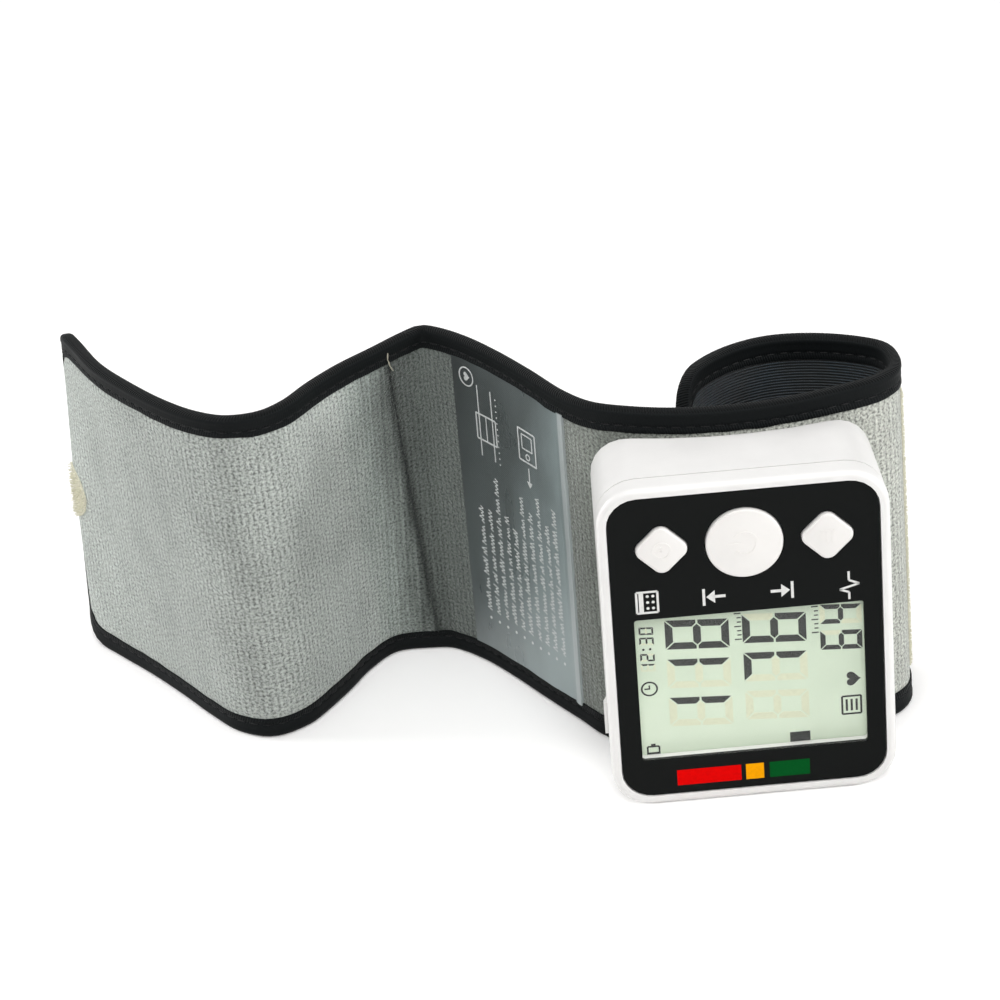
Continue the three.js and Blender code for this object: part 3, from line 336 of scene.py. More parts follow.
def striped_rubber(name):
    """Rubber in thin layers that conduct and insulate by turns."""
    material, shader = surface(name, {"Roughness": 0.7})
    across, _, _ = axes(material, object_place(material))
    stripes = reckon(material, "SINE", reckon(material, "MULTIPLY", across, STRIPE_TURN))
    feed(material, shader, {"Base Color": ramp(material, stripes, (0.45, grey(0.02)), (0.55, grey(0.16)))})
    return material


dress_nodes(striped_rubber("signal_strip"), "contact_strip")


# Front panel
# A satin black plastic plate glued into the rim of the case, with cut-outs for the display and buttons.
# Its marks are screen-printed: pictograms beside the display and a bar in three colours below it.
PANEL_EDGE = 0.00012
PANEL_LEVEL = -15.0
MARK_THICKNESS = 0.03
MILLIMETRE = 0.001
panel_black = moulded_plastic("panel_black", (0.0052, 0.0060, 0.0058), 0.5, 0.35, 0.06)
panel = moulded_copy("front_panel", "panel", panel_black, PANEL_EDGE)
fit(panel, "monitor", "panel_black", "front_panel")


def printed_ink(name, colour, roughness=0.45, shine=0.15):
    """Screen-printed ink, a little uneven where it lies thin."""
    material, shader = surface(name, {"IOR": 1.45, "Specular IOR Level": shine})
    cover = clouds(material, object_place(material), 1500, 4)
    feed(material, shader, {
        "Base Color": ramp(material, cover, (0.25, shade(colour, 0.88)), (0.6, colour)),
        "Roughness": spread(material, cover, roughness - 0.08, roughness + 0.08),
        "Normal": relief(material, cover, 0.00002, 0.3),
    })
    return material


# Marks on the front are drawn flat, in millimetres, turned as they read:
# u runs up the case and v runs to its left.
def ink_patch(shape, corners):
    shape.faces.new([shape.verts.new((u, v, 0)) for u, v in corners])


def ink_block(shape, left, low, right, high):
    ink_patch(shape, [(left, low), (right, low), (right, high), (left, high)])


def ink_bar(shape, start, end, width):
    run = Vector((end[0] - start[0], end[1] - start[1], 0))
    middle = Vector(((start[0] + end[0]) / 2, (start[1] + end[1]) / 2, 0))
    turn = Matrix.Rotation(math.atan2(run.y, run.x), 4, "Z")
    stretch = Matrix.Diagonal((run.length, width, 1, 1))
    place = Matrix.Translation(middle) @ turn @ stretch
    bmesh.ops.create_grid(shape, x_segments=1, y_segments=1, size=0.5, matrix=place)


RING_STEP = 12


def ink_ring(shape, centre, radius, width, start=0.0, sweep=360.0):
    """A ring, or the part of one that a sweep in degrees makes."""
    middle = Vector((*centre, 0))
    outward = Vector((math.cos(math.radians(start)), math.sin(math.radians(start)), 0))
    inner = shape.verts.new(middle + outward * (radius - width / 2))
    outer = shape.verts.new(middle + outward * (radius + width / 2))
    edge = shape.edges.new((inner, outer))
    bmesh.ops.spin(
        shape,
        geom=[inner, outer, edge],
        cent=middle,
        axis=(0, 0, 1),
        angle=math.radians(sweep),
        steps=round(sweep / RING_STEP),
        use_merge=sweep >= 360,
    )


def ink_dot(shape, centre, radius, corners=20):
    place = Matrix.Translation((*centre, 0))
    bmesh.ops.create_circle(shape, cap_ends=True, segments=corners, radius=radius, matrix=place)


def ink_box(shape, centre, width, height, line):
    u, v = centre
    for side in (-1, 1):
        ink_bar(shape, (u - width / 2, v + side * height / 2), (u + width / 2, v + side * height / 2), line)
        ink_bar(shape, (u + side * width / 2, v - height / 2), (u + side * width / 2, v + height / 2), line)


HEART_STEPS = 32
HEART_WIDTH = 32


def ink_heart(shape, centre, size):
    """A heart by the usual formula, which draws it 32 units wide."""
    corners = []
    for step in range(HEART_STEPS):
        turn = step / HEART_STEPS * 2 * math.pi
        u = 16 * math.sin(turn) ** 3
        v = 13 * math.cos(turn) - 5 * math.cos(2 * turn) - 2 * math.cos(3 * turn) - math.cos(4 * turn)
        corners.append((centre[0] - u * size / HEART_WIDTH, centre[1] + v * size / HEART_WIDTH))
    ink_patch(shape, corners)


def thicken(shape, thickness):
    """Raises flat faces into a solid."""
    raised = bmesh.ops.extrude_face_region(shape, geom=shape.faces[:])["geom"]
    moved = [part for part in raised if isinstance(part, bmesh.types.BMVert)]
    bmesh.ops.translate(shape, verts=moved, vec=(0, 0, thickness))
    bmesh.ops.recalc_face_normals(shape, faces=shape.faces[:])


def stand_up(shape, level):
    """Turns a drawn sheet to the front of the case, at its level, and to metres."""
    turn = Matrix(((0, -1, 0, 0), (0, 0, -1, level), (1, 0, 0, 0), (0, 0, 0, 1)))
    bmesh.ops.transform(shape, matrix=Matrix.Scale(MILLIMETRE, 4) @ turn, verts=shape.verts[:])


def front_mark(shape, name, material, level, slot="print"):
    """Lays a drawn sheet on a face of the case, at its level."""
    thicken(shape, MARK_THICKNESS)
    stand_up(shape, level)
    fit(finished(shape, name, material), "monitor", slot)


BAR_LOW = 4.4
BAR_HIGH = 8.4
BAR_COLOURS = {
    "red": ((0.72, 0.0, 0.0), -17.3, -3.05),
    "amber": ((0.92, 0.37, 0.0), -2.0, 2.0),
    "green": ((0.0, 0.080, 0.013), 3.3, 12.2),
}
for bar_name, (bar_colour, bar_left, bar_right) in BAR_COLOURS.items():
    bar = bmesh.new()
    ink_block(bar, BAR_LOW, -bar_right, BAR_HIGH, -bar_left)
    bar_ink = printed_ink("ink_" + bar_name, bar_colour, 0.5, 0.04)
    front_mark(bar, "bar_" + bar_name, bar_ink, PANEL_LEVEL)

MARK_LINE = 0.5
MARK_MIDDLE = 52.3
panel_marks = bmesh.new()
# Calendar leaf
ink_box(panel_marks, (MARK_MIDDLE, 21.6), 5.2, 4.6, MARK_LINE)
ink_bar(panel_marks, (MARK_MIDDLE - 2.4, 22.9), (MARK_MIDDLE + 2.4, 22.9), 1.0)
for leaf_row in (20.3, 21.5):
    for leaf_column in (-1.5, 0.0, 1.5):
        ink_dot(panel_marks, (MARK_MIDDLE + leaf_column, leaf_row), 0.35, 10)


def arrow_to_line(line, way):
    """An arrow that points to a line, for the upper or the lower reading."""
    head = line - way * 2.4
    tip = line - way * 0.5
    ink_bar(panel_marks, (MARK_MIDDLE - 2.1, line), (MARK_MIDDLE + 2.1, line), 0.6)
    ink_patch(panel_marks, [(MARK_MIDDLE - 1.6, head), (MARK_MIDDLE + 1.6, head), (MARK_MIDDLE, tip)])
    ink_bar(panel_marks, (MARK_MIDDLE, line - way * 4.7), (MARK_MIDDLE, head + way * 0.1), 0.7)


arrow_to_line(9.3, 1)
arrow_to_line(-9.9, -1)
# Pulse line
pulse = [(48.6, -22.2), (50.4, -22.2), (51.2, -20.2), (52.4, -24.4), (53.4, -22.2), (55.6, -22.2)]
for pulse_start, pulse_end in zip(pulse, pulse[1:]):
    ink_bar(panel_marks, pulse_start, pulse_end, MARK_LINE)
ink_white = printed_ink("ink_white", (0.74, 0.74, 0.72))
front_mark(panel_marks, "panel_pictograms", ink_white, PANEL_LEVEL)


# Display
# A reflective liquid-crystal glass in a white frame, 3 mm behind the panel's face under a clear window.
# Its figures are dark polarised segments, with the segments that are off just showing as a warm tint.
GLASS_LEVEL = -11.9
GLASS_LOW = 0.011
GLASS_HIGH = 0.048


def liquid_crystal(name):
    """The pale green of the glass, with painted shade making it a little deeper towards its top."""
    material, shader = surface(name, {"Coat Weight": 0.15})
    place = object_place(material)
    _, _, height = axes(material, place)
    cloud = clouds(material, place, 120, 4)
    uneven = reckon(material, "SUBTRACT", cloud, 0.5)
    # Painted shade of the window's recess: the glass darker towards its top, with random mottling
    painted_shade_and_mottle = reckon(material, "ADD", progress(material, height, GLASS_LOW, GLASS_HIGH), uneven)
    feed(material, shader, {
        "Base Color": ramp(material, painted_shade_and_mottle, (0.1, (0.67, 0.775, 0.61)), (0.9, (0.58, 0.685, 0.53))),
        "Roughness": spread(material, cloud, 0.3, 0.45),
    })
    return material


dress_nodes(liquid_crystal("lcd_glass"), "display_glass")
dress_nodes(case_plastic, "display_frame")
window_clear, window_shader = surface("window_clear", {"Base Color": (0.9, 0.92, 0.9, 1), "Alpha": 0.03})
haze = clouds(window_clear, object_place(window_clear), 200)
feed(window_clear, window_shader, {"Roughness": spread(window_clear, haze, 0.04, 0.12)})
dress_nodes(window_clear, "display_window")

# The segments that light up for each figure shown
SEGMENTS = {
    "0": "abcdef",
    "1": "bc",
    "2": "abged",
    "3": "abgcd",
    "4": "fgbc",
    "6": "afgecd",
    "7": "abc",
    "8": "abcdefg",
    " ": "",
}
# Width, height and line of a figure
LARGE_FIGURE = (7.4, 14.0, 1.7)
PULSE_FIGURE = (4.9, 9.2, 1.15)
CLOCK_FIGURE = (1.9, 3.2, 0.42)
FIGURE_LEAN = 0.06


def digit_segments(width, height, line):
    """The seven segments of a figure, with mitred ends and a hair's gap between them."""
    gap = line * 0.13
    half = height / 2
    top = [
        (gap, height),
        (width - gap, height),
        (width - line - gap, height - line),
        (line + gap, height - line),
    ]
    middle = [
        (line / 2 + gap, half),
        (line + gap, half + line / 2),
        (width - line - gap, half + line / 2),
        (width - line / 2 - gap, half),
        (width - line - gap, half - line / 2),
        (line + gap, half - line / 2),
    ]
    upper_left = [
        (0, height - gap),
        (0, half + gap),
        (line / 2, half + gap),
        (line, half + line / 2 + gap),
        (line, height - line - gap),
    ]
    upper_right = [(width - u, v) for u, v in upper_left]
    return {
        "a": top,
        "d": [(u, height - v) for u, v in top],
        "g": middle,
        "f": upper_left,
        "b": upper_right,
        "e": [(u, height - v) for u, v in upper_left],
        "c": [(u, height - v) for u, v in upper_right],
    }


def show_digits(lit, ghost, text, centres, base, size):
    """Draws figures side by side: segments that are on go to the lit sheet, the rest to the ghost sheet."""
    width, height, line = size
    for figure, centre in zip(text, centres):
        left = centre - width / 2
        for letter, corners in digit_segments(width, height, line).items():
            sheet = lit if letter in SEGMENTS[figure] else ghost
            placed = [(left + u + (v - height / 2) * FIGURE_LEAN, base + v) for u, v in corners]
            ink_patch(sheet, placed)


lit_marks = bmesh.new()
ghost_marks = bmesh.new()
show_digits(lit_marks, ghost_marks, "811", (41.3, 31.3, 21.4), 4.0, LARGE_FIGURE)
show_digits(lit_marks, ghost_marks, "67 ", (41.2, 31.3, 21.4), -12.9, LARGE_FIGURE)
show_digits(lit_marks, ghost_marks, "46", (43.2, 36.6), -25.1, PULSE_FIGURE)
show_digits(lit_marks, ghost_marks, "0321", (43.2, 40.6, 36.4, 33.8), 20.5, CLOCK_FIGURE)
for colon_height in (21.4, 22.9):
    ink_dot(lit_marks, (38.5, colon_height), 0.3, 10)
# Clock, heart, memory leaf, cell and level marker
ink_ring(lit_marks, (28.3, 22.1), 1.7, 0.4)
ink_bar(lit_marks, (28.3, 22.0), (28.3, 23.2), 0.35)
ink_bar(lit_marks, (28.2, 22.1), (29.2, 22.1), 0.35)
ink_heart(lit_marks, (26.3, -22.7), 3.6)
ink_box(lit_marks, (19.5, -22.3), 4.6, 4.2, 0.45)
for leaf_line in (-21.2, -22.3, -23.4):
    ink_bar(lit_marks, (18.0, leaf_line), (21.0, leaf_line), 0.5)
ink_box(lit_marks, (11.9, 22.0), 2.6, 2.6, 0.4)
ink_block(lit_marks, 13.3, 21.5, 13.9, 22.5)
ink_bar(lit_marks, (11.4, 20.8), (11.4, 23.2), 0.6)
ink_block(lit_marks, 11.2, -12.9, 13.7, -8.4)
# Scale ticks beside the two large figures
TICK_START = 39.0
TICK_STEP = 1.1
for tick_row in (1.3, -15.6):
    for tick in range(7):
        tick_place = TICK_START + tick * TICK_STEP
        tick_height = 1.5 if tick % 3 == 0 else 0.9
        ink_bar(lit_marks, (tick_place, tick_row), (tick_place, tick_row + tick_height), 0.3)
segment_dark = printed_ink("segment_dark", (0.018, 0.020, 0.018), 0.4)
segment_ghost = printed_ink("segment_ghost", (0.70, 0.735, 0.54), 0.4)
front_mark(lit_marks, "display_figures", segment_dark, GLASS_LEVEL, "display_glass")
front_mark(ghost_marks, "display_ghosts", segment_ghost, GLASS_LEVEL, "display_glass")


# Buttons
# Three white caps, one round and two squares set on a corner, press through the panel onto the switches.
# Each is a flat moulding with rounded edges and a symbol standing slightly proud of its face.
BUTTON_HEIGHT = 65.2
BUTTON_BASE = -11.9
BUTTON_RISE = 3.9
BUTTON_EDGE = 0.55
BUTTON_CREASE = 50
POWER_RADIUS = 8.4
SIDE_BUTTON = 17.9
SQUARE_SIDE = 9.2
SQUARE_CORNER = 2.2
SYMBOL_RISE = 0.15
button_plastic = moulded_plastic("button_white_abs", (0.82, 0.80, 0.775), 0.4, 0.25)


def cap_from_outline(shape, name, symbol):
    """Raises a flat outline into a button cap, rounds its rim and sets its symbol on it."""
    thicken(shape, BUTTON_RISE)
    rim = [edge for edge in shape.edges if all(vert.co.z > BUTTON_RISE / 2 for vert in edge.verts)]
    bmesh.ops.bevel(
        shape,
        geom=rim,
        offset=BUTTON_EDGE,
        affect="EDGES",
        segments=4,
        profile=0.5,
        material=-1,
    )
    stand_up(shape, BUTTON_BASE)
    cap = finished(shape, name + "_cap", button_plastic, BUTTON_CREASE)
    fit(cap, name, "button_white", name)
    thicken(symbol, SYMBOL_RISE)
    stand_up(symbol, BUTTON_BASE - BUTTON_RISE)
    proud = finished(symbol, name + "_symbol", button_plastic)
    fit(proud, name, "button_white")


power_outline = bmesh.new()
ink_dot(power_outline, (BUTTON_HEIGHT, 0), POWER_RADIUS, 72)
power_symbol = bmesh.new()
ink_ring(power_symbol, (BUTTON_HEIGHT, 0), 2.7, 0.7, 130, 280)
ink_bar(power_symbol, (BUTTON_HEIGHT, 0.6), (BUTTON_HEIGHT, 3.9), 0.7)
cap_from_outline(power_outline, "power_button", power_symbol)


def square_on_corner(v):
    """A square with rounded corners, standing on one of them."""
    shape = bmesh.new()
    ink_dot(shape, (BUTTON_HEIGHT, v), SQUARE_SIDE / math.sqrt(2), 4)
    bmesh.ops.bevel(
        shape,
        geom=shape.verts[:],
        offset=SQUARE_CORNER,
        affect="VERTICES",
        segments=8,
        profile=0.5,
        material=-1,
    )
    return shape


clock_symbol = bmesh.new()
ink_ring(clock_symbol, (BUTTON_HEIGHT, SIDE_BUTTON), 1.9, 0.45)
ink_bar(clock_symbol, (BUTTON_HEIGHT, SIDE_BUTTON), (BUTTON_HEIGHT, SIDE_BUTTON + 1.2), 0.4)
ink_bar(clock_symbol, (BUTTON_HEIGHT, SIDE_BUTTON), (BUTTON_HEIGHT + 1.0, SIDE_BUTTON), 0.4)
cap_from_outline(square_on_corner(SIDE_BUTTON), "clock_button", clock_symbol)
memory_symbol = bmesh.new()
for line_shift in (1.2, 0.0, -1.2):
    memory_line = line_shift - SIDE_BUTTON
    ink_bar(memory_symbol, (BUTTON_HEIGHT - 1.6, memory_line), (BUTTON_HEIGHT + 1.6, memory_line), 0.5)
cap_from_outline(square_on_corner(-SIDE_BUTTON), "memory_button", memory_symbol)


# Cuff cloth
# One long strip, 85 mm high, stands on its edge: brushed grey velour outside and dark woven nylon inside.
# It is cut and sewn in three parts: the tail, the printed part and the loop that is fixed behind the case.
CUFF_HEIGHT = 85.0
CORNER = 12.0

# Stations from the tail on: x and y of the strip's top edge and of its bottom edge, in millimetres
CUFF_STATIONS = [
    (-146.3, 82.4, -149.6, 84.8),
    (-147.1, 78.6, -149.9, 80.6),
    (-146.8, 74.8, -148.6, 76.4),
    (-144.0, 67.7, -142.9, 69.0),
    (-139.3, 56.7, -135.0, 59.2),
    (-132.2, 46.0, -127.5, 48.8),
    (-124.0, 35.8, -120.2, 38.0),
    (-117.0, 29.4, -114.4, 30.9),
    (-110.2, 26.0, -107.3, 27.7),
    (-102.4, 26.6, -99.8, 31.2),
    (-96.8, 30.6, -95.5, 36.3),
    (-90.8, 38.4, -90.0, 44.5),
    (-84.0, 45.8, -84.9, 53.0),
    (-76.3, 52.4, -78.0, 60.0),
    (-68.9, 58.9, -68.5, 60.4),
    (-65.2, 61.3, -64.6, 59.8),
    (-61.7, 59.5, -61.2, 57.7),
    (-56.0, 54.2, -55.5, 52.0),
    (-49.3, 45.5, -49.1, 43.2),
    (-42.8, 35.5, -42.7, 33.3),
    (-35.5, 23.4, -35.5, 22.6),
    (-29.7, 17.3, -29.3, 13.7),
    (-22.0, 13.8, -21.0, 10.2),
    (-12.0, 11.1, -11.0, 8.5),
    (0.0, 10.2, 1.0, 8.1),
    (12.5, 11.4, 14.0, 8.6),
    (25.0, 14.7, 25.5, 11.0),
    (33.5, 17.9, 33.5, 12.4),
    (37.7, 22.0, 37.6, 16.6),
    (38.6, 27.0, 38.8, 22.0),
    (37.0, 33.0, 37.5, 28.6),
    (32.0, 36.8, 32.5, 33.0),
    (22.0, 40.4, 22.5, 36.7),
    (12.0, 41.0, 12.5, 37.2),
    (3.0, 37.8, 3.2, 34.4),
    (-4.2, 31.8, -4.4, 28.8),
    (-8.2, 25.2, -8.6, 22.6),
    (-9.8, 19.2, -10.2, 16.8),
]
SEAM_STATION = 14
ROOT_STATION = 20
LAST_STATION = len(CUFF_STATIONS) - 1
CURVE_STEPS = 600


def edge_curve(points, share):
    """Places and directions on the smooth curve through the points, at shares of their count."""
    ends = np.vstack([2 * points[0] - points[1], points, 2 * points[-1] - points[-2]])
    at = np.clip(share, 0, 1) * LAST_STATION
    first = np.clip(np.floor(at).astype(int), 0, LAST_STATION - 1)
    part = (at - first)[:, None]
    before, start, end, after = (ends[first + step] for step in range(4))
    run_before = np.sqrt(np.linalg.norm(start - before, axis=1))[:, None]
    run = np.sqrt(np.linalg.norm(end - start, axis=1))[:, None]
    run_after = np.sqrt(np.linalg.norm(after - end, axis=1))[:, None]
    leave = (start - before) / run_before - (end - before) / (run_before + run) + (end - start) / run
    arrive = (end - start) / run - (after - start) / (run + run_after) + (after - end) / run_after
    leave, arrive = leave * run, arrive * run
    square = 3 * (end - start) - 2 * leave - arrive
    cube = 2 * (start - end) + leave + arrive
    place = start + part * (leave + part * (square + part * cube))
    direction = leave + part * (2 * square + 3 * part * cube)
    return place, direction / np.linalg.norm(direction, axis=1)[:, None]


def running_lengths(points):
    """How far along a bent line each of its points lies."""
    steps = np.linalg.norm(np.diff(points, axis=0), axis=1)
    return np.concatenate([[0.0], np.cumsum(steps)])


stations = np.array(CUFF_STATIONS)
top_edge, bottom_edge = stations[:, :2], stations[:, 2:]
even_shares = np.linspace(0, 1, CURVE_STEPS + 1)
middle_line = (edge_curve(top_edge, even_shares)[0] + edge_curve(bottom_edge, even_shares)[0]) / 2
cuff_lengths = running_lengths(middle_line)


def station_length(station):
    """How far along the strip a station lies."""
    return cuff_lengths[round(station / LAST_STATION * CURVE_STEPS)]


CUFF_LENGTH = cuff_lengths[-1]
SEAM = station_length(SEAM_STATION)
ROOT = station_length(ROOT_STATION)


def on_cuff(flat):
    """Bends flat places (length, height and offset to the velour side) onto the standing cuff."""
    share = np.interp(flat[:, 0], cuff_lengths, even_shares)
    edges = []
    for points in (bottom_edge, top_edge):
        place, direction = edge_curve(points, share)
        outward = np.column_stack([direction[:, 1], -direction[:, 0]])
        edges.append(place + outward * flat[:, 2:3])
    rise = flat[:, 1:2] / CUFF_HEIGHT
    plan = edges[0] * (1 - rise) + edges[1] * rise
    return np.column_stack([plan, flat[:, 1]]) * MILLIMETRE


def bend_onto_cuff(shape):
    bent = on_cuff(np.array([vert.co for vert in shape.verts]))
    for vert, place in zip(shape.verts, bent):
        vert.co = place
    bmesh.ops.recalc_face_normals(shape, faces=shape.faces[:])


def lay_on_cuff(shape):
    """Maps a flat shape for its weave, in millimetres along and up the strip, and bends it into place."""
    layer = shape.loops.layers.uv.new("weave")
    for face in shape.faces:
        for loop in face.loops:
            loop[layer].uv = loop.vert.co.xy
    bend_onto_cuff(shape)


def corner_rise(distance, radius):
    """How far a rounded corner eats into the height at a distance from the strip's end."""
    if distance >= radius:
        return 0.0
    return radius - math.sqrt(max(radius ** 2 - (radius - distance) ** 2, 0))


CLOTH_STEP = 1.2
CLOTH_ROWS = 48


def cloth_strip(start, end, margin, near, far, rounded="", swell=None):
    """A layer of the cuff, laid out flat, given its thickness, mapped and bent into place."""
    shape = bmesh.new()
    columns = round((end - start) / CLOTH_STEP)
    bmesh.ops.create_grid(shape, x_segments=columns, y_segments=CLOTH_ROWS, size=1)
    radius = CORNER - margin
    for vert in shape.verts:
        length = start + (end - start) * (vert.co.x + 1) / 2
        reach = {"start": length - start, "end": end - length}.get(rounded, radius)
        low = margin + corner_rise(reach, radius)
        height = low + (CUFF_HEIGHT - 2 * low) * (vert.co.y + 1) / 2
        vert.co = (length, height, far)
    face_verts = shape.verts[:]
    thicken(shape, near - far)
    if swell:
        for vert in face_verts:
            vert.co.z += swell(vert.co.x, vert.co.y)
    lay_on_cuff(shape)
    return shape


def fit_cuff(piece, part, slot, *cad_names):
    """Hangs a piece on its part of the cuff: the tail and the printed part stay in place, the loop moves
    with the monitor; the slot is not used.
    """
    if part == "tail":
        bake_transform(piece)
    elif part == "print":
        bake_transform(piece)
    else:
        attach(piece, "monitor")
    if cad_names:
        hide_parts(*cad_names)


def smooth_share(value):
    """A share from 0 to 1 that starts and ends softly."""
    value = min(max(value, 0.0), 1.0)
    return value * value * (3 - 2 * value)


# The tape isn't folded evenly: its share of the usual width at lengths of the strip
WIDTH_LENGTHS = [0, 16, 50, 75, 88, 105, SEAM, ROOT - 10, ROOT + 6]
WIDTH_SHARES = [1.15, 1.05, 1.02, 1.02, 1.12, 1.08, 1.0, 1.02, 1.14]
TAPE_DEPTH = 4.9


def tape_width(length):
    return float(np.interp(length, WIDTH_LENGTHS, WIDTH_SHARES))


def from_edge(length, height):
    """How far a place lies from the edge of the cuff, with the tail's corners rounded."""
    from_long_edge = min(height, CUFF_HEIGHT - height)
    if length < CORNER and from_long_edge < CORNER:
        return CORNER - math.hypot(CORNER - length, CORNER - from_long_edge)
    return min(from_long_edge, length)


PILE_RISE = 0.3
PILE_TUCK = 0.3
PILE_EDGE = 1.5
PILE_UNEVEN = 0.2
PILE_PLUMP = 0.6
PLUMP_LENGTH = 11.0
PLUMP_FADE = 14.0
PRESS_START = 9.0
PRESS_FADE = 4.0


def pile_swell(length, height):
    """The pile stands up beside the tape that holds it down, unevenly and most at the tail's end."""
    past_tape = from_edge(length, height) - TAPE_DEPTH * tape_width(length)
    free = smooth_share((past_tape + PILE_TUCK) / PILE_EDGE)
    uneven = noise.noise(Vector((length * 0.09, height * 0.05, 3.0))) * PILE_UNEVEN
    from_tail = smooth_share((length - PLUMP_LENGTH) / PLUMP_FADE)
    plump = PILE_PLUMP * (1 - from_tail) * math.sin(math.pi * height / CUFF_HEIGHT)
    return free * (PILE_RISE + uneven + plump)


def print_swell(length, height):
    """Beside the seam the pile is free; under the printed panel it is pressed flat."""
    pressed = smooth_share((length - SEAM - PRESS_START) / PRESS_FADE)
    return pile_swell(length, height) * (1 - pressed)


def weave_place(material):
    return node(material, "ShaderNodeUVMap", {}, uv_map="weave").outputs["UV"]


def layered(material, tone, *layers):
    """A tone multiplied by each layer in turn."""
    for layer in layers:
        inputs = {"Fac": 1.0, "Color1": tone, "Color2": layer}
        tone = node(material, "ShaderNodeMixRGB", inputs, blend_type="MULTIPLY").outputs["Color"]
    return tone


def waves(material, value, pitch):
    """A wave from -1 to 1 with that pitch."""
    return reckon(material, "SINE", reckon(material, "MULTIPLY", value, 2 * math.pi / pitch))


SEAM_FOOT = 1.6
SEAM_LEAN = 0.1
# How far the painted shade reaches beside the seam, in its crease and in the hollow by the case, and the
# tint of that shade
SEAM_SHADE_REACH = 20.0
CREASE_SHADE_REACH = 6.0
HOLLOW_SHADE_REACH = 45.0
PAINTED_SHADE_TINT = (0.95, 1.0, 0.985)


def painted_seam_shade(material, place, along, up):
    """Painted shade in streaks on both sides of the slanting seam, held over the printed part's velour
    beyond it, and darker still in the seam's crease.
    """
    slant = reckon(material, "MULTIPLY", up, SEAM_LEAN)
    from_seam = reckon(material, "SUBTRACT", reckon(material, "ADD", along, slant), SEAM + SEAM_FOOT)
    streaks = clouds(material, stretched(material, place, 0.5, 0.04), 1, 3)
    uneven = reckon(material, "MULTIPLY", reckon(material, "SUBTRACT", streaks, 0.5), 12.0)
    ragged = reckon(material, "ADD", from_seam, uneven)
    # Painted shade of the fold's hollow, darkest just past the seam and held over the printed part's velour
    painted_shade = ramp(
        material,
        progress(material, ragged, -SEAM_SHADE_REACH, SEAM_SHADE_REACH),
        (0.06, grey(1.0)),
        (0.26, shade(PAINTED_SHADE_TINT, 0.76)),
        (0.41, shade(PAINTED_SHADE_TINT, 0.45)),
        (0.5, shade(PAINTED_SHADE_TINT, 0.25)),
        (0.57, shade(PAINTED_SHADE_TINT, 0.24)),
        (0.68, shade(PAINTED_SHADE_TINT, 0.3)),
        (0.85, shade(PAINTED_SHADE_TINT, 0.33)),
    )
    # Painted shade in the crease of the seam
    from_crease = reckon(material, "DIVIDE", reckon(material, "ABSOLUTE", from_seam), CREASE_SHADE_REACH)
    crease = ramp(material, from_crease, (0.06, grey(0.4)), (0.3, grey(1.0)))
    return layered(material, painted_shade, crease)


def painted_hollow_shade(material, along):
    """Painted shade in the hollow where the cuff goes behind the case, fading out along the loop."""
    share = progress(material, along, ROOT, ROOT + HOLLOW_SHADE_REACH)
    flat = shade(PAINTED_SHADE_TINT, 0.4)
    rising = shade(PAINTED_SHADE_TINT, 0.5)
    return ramp(material, share, (0.0, flat), (0.35, rising), (1.0, grey(1.0)))


COLUMN_PITCH = 1.35


def brushed_velour(name, colour, shade_at_seam=True):
    """Knitted velour with a brushed pile: columns of tufts with dark gaps, a nap uneven in tone, painted
    shade beside the seam (for the loop, in the hollow by the case instead) and painted light towards the
    tail's end.
    """
    material, shader = surface(name, {
        "Roughness": 0.95,
        "Sheen Weight": 0.6,
        "Sheen Roughness": 0.4,
        "Sheen Tint": (0.88, 0.93, 0.9, 1),
        "Specular IOR Level": 0.15,
    })
    place = weave_place(material)
    along, up, _ = axes(material, place)
    nap = clouds(material, stretched(material, place, 0.11, 0.06), 1, 4, 0.6)
    tufts = clouds(material, stretched(material, place, 1.85, 1.6), 1, 2, 0.6)
    wander = clouds(material, stretched(material, place, 0.25, 0.12), 1, 2)
    across = reckon(material, "ADD", along, reckon(material, "MULTIPLY", wander, 0.8))
    columns = reckon(material, "MULTIPLY", waves(material, across, COLUMN_PITCH), 0.05)
    pile = reckon(material, "ADD", tufts, columns)
    nap_tone = ramp(
        material,
        nap,
        (0.34, shade(colour, 0.87)),
        (0.5, shade(colour, 0.98)),
        (0.68, shade(colour, 1.06)),
    )
    pile_tone = ramp(material, pile, (0.3, grey(0.34)), (0.5, grey(1.0)), (0.7, grey(1.5)))
    # Painted shade: beside the seam, and for the loop in the hollow by the case
    painted_shade = painted_seam_shade(material, place, along, up) if shade_at_seam else painted_hollow_shade(material, along)
    # Painted light: the velour lighter at the tail's end, and from three quarters of the way to the seam
    # onward
    raised = ramp(
        material,
        reckon(material, "DIVIDE", along, SEAM),
        (0.03, grey(1.3)),
        (0.35, grey(0.98)),
        (0.55, grey(1.0)),
        (0.75, grey(1.15)),
    )
    feed(material, shader, {
        "Base Color": layered(material, nap_tone, pile_tone, painted_shade, raised),
        "Normal": relief(material, pile, 0.0006, 0.8),
    })
    return material


WARP_PITCH = 0.55
WEFT_PITCH = 0.7


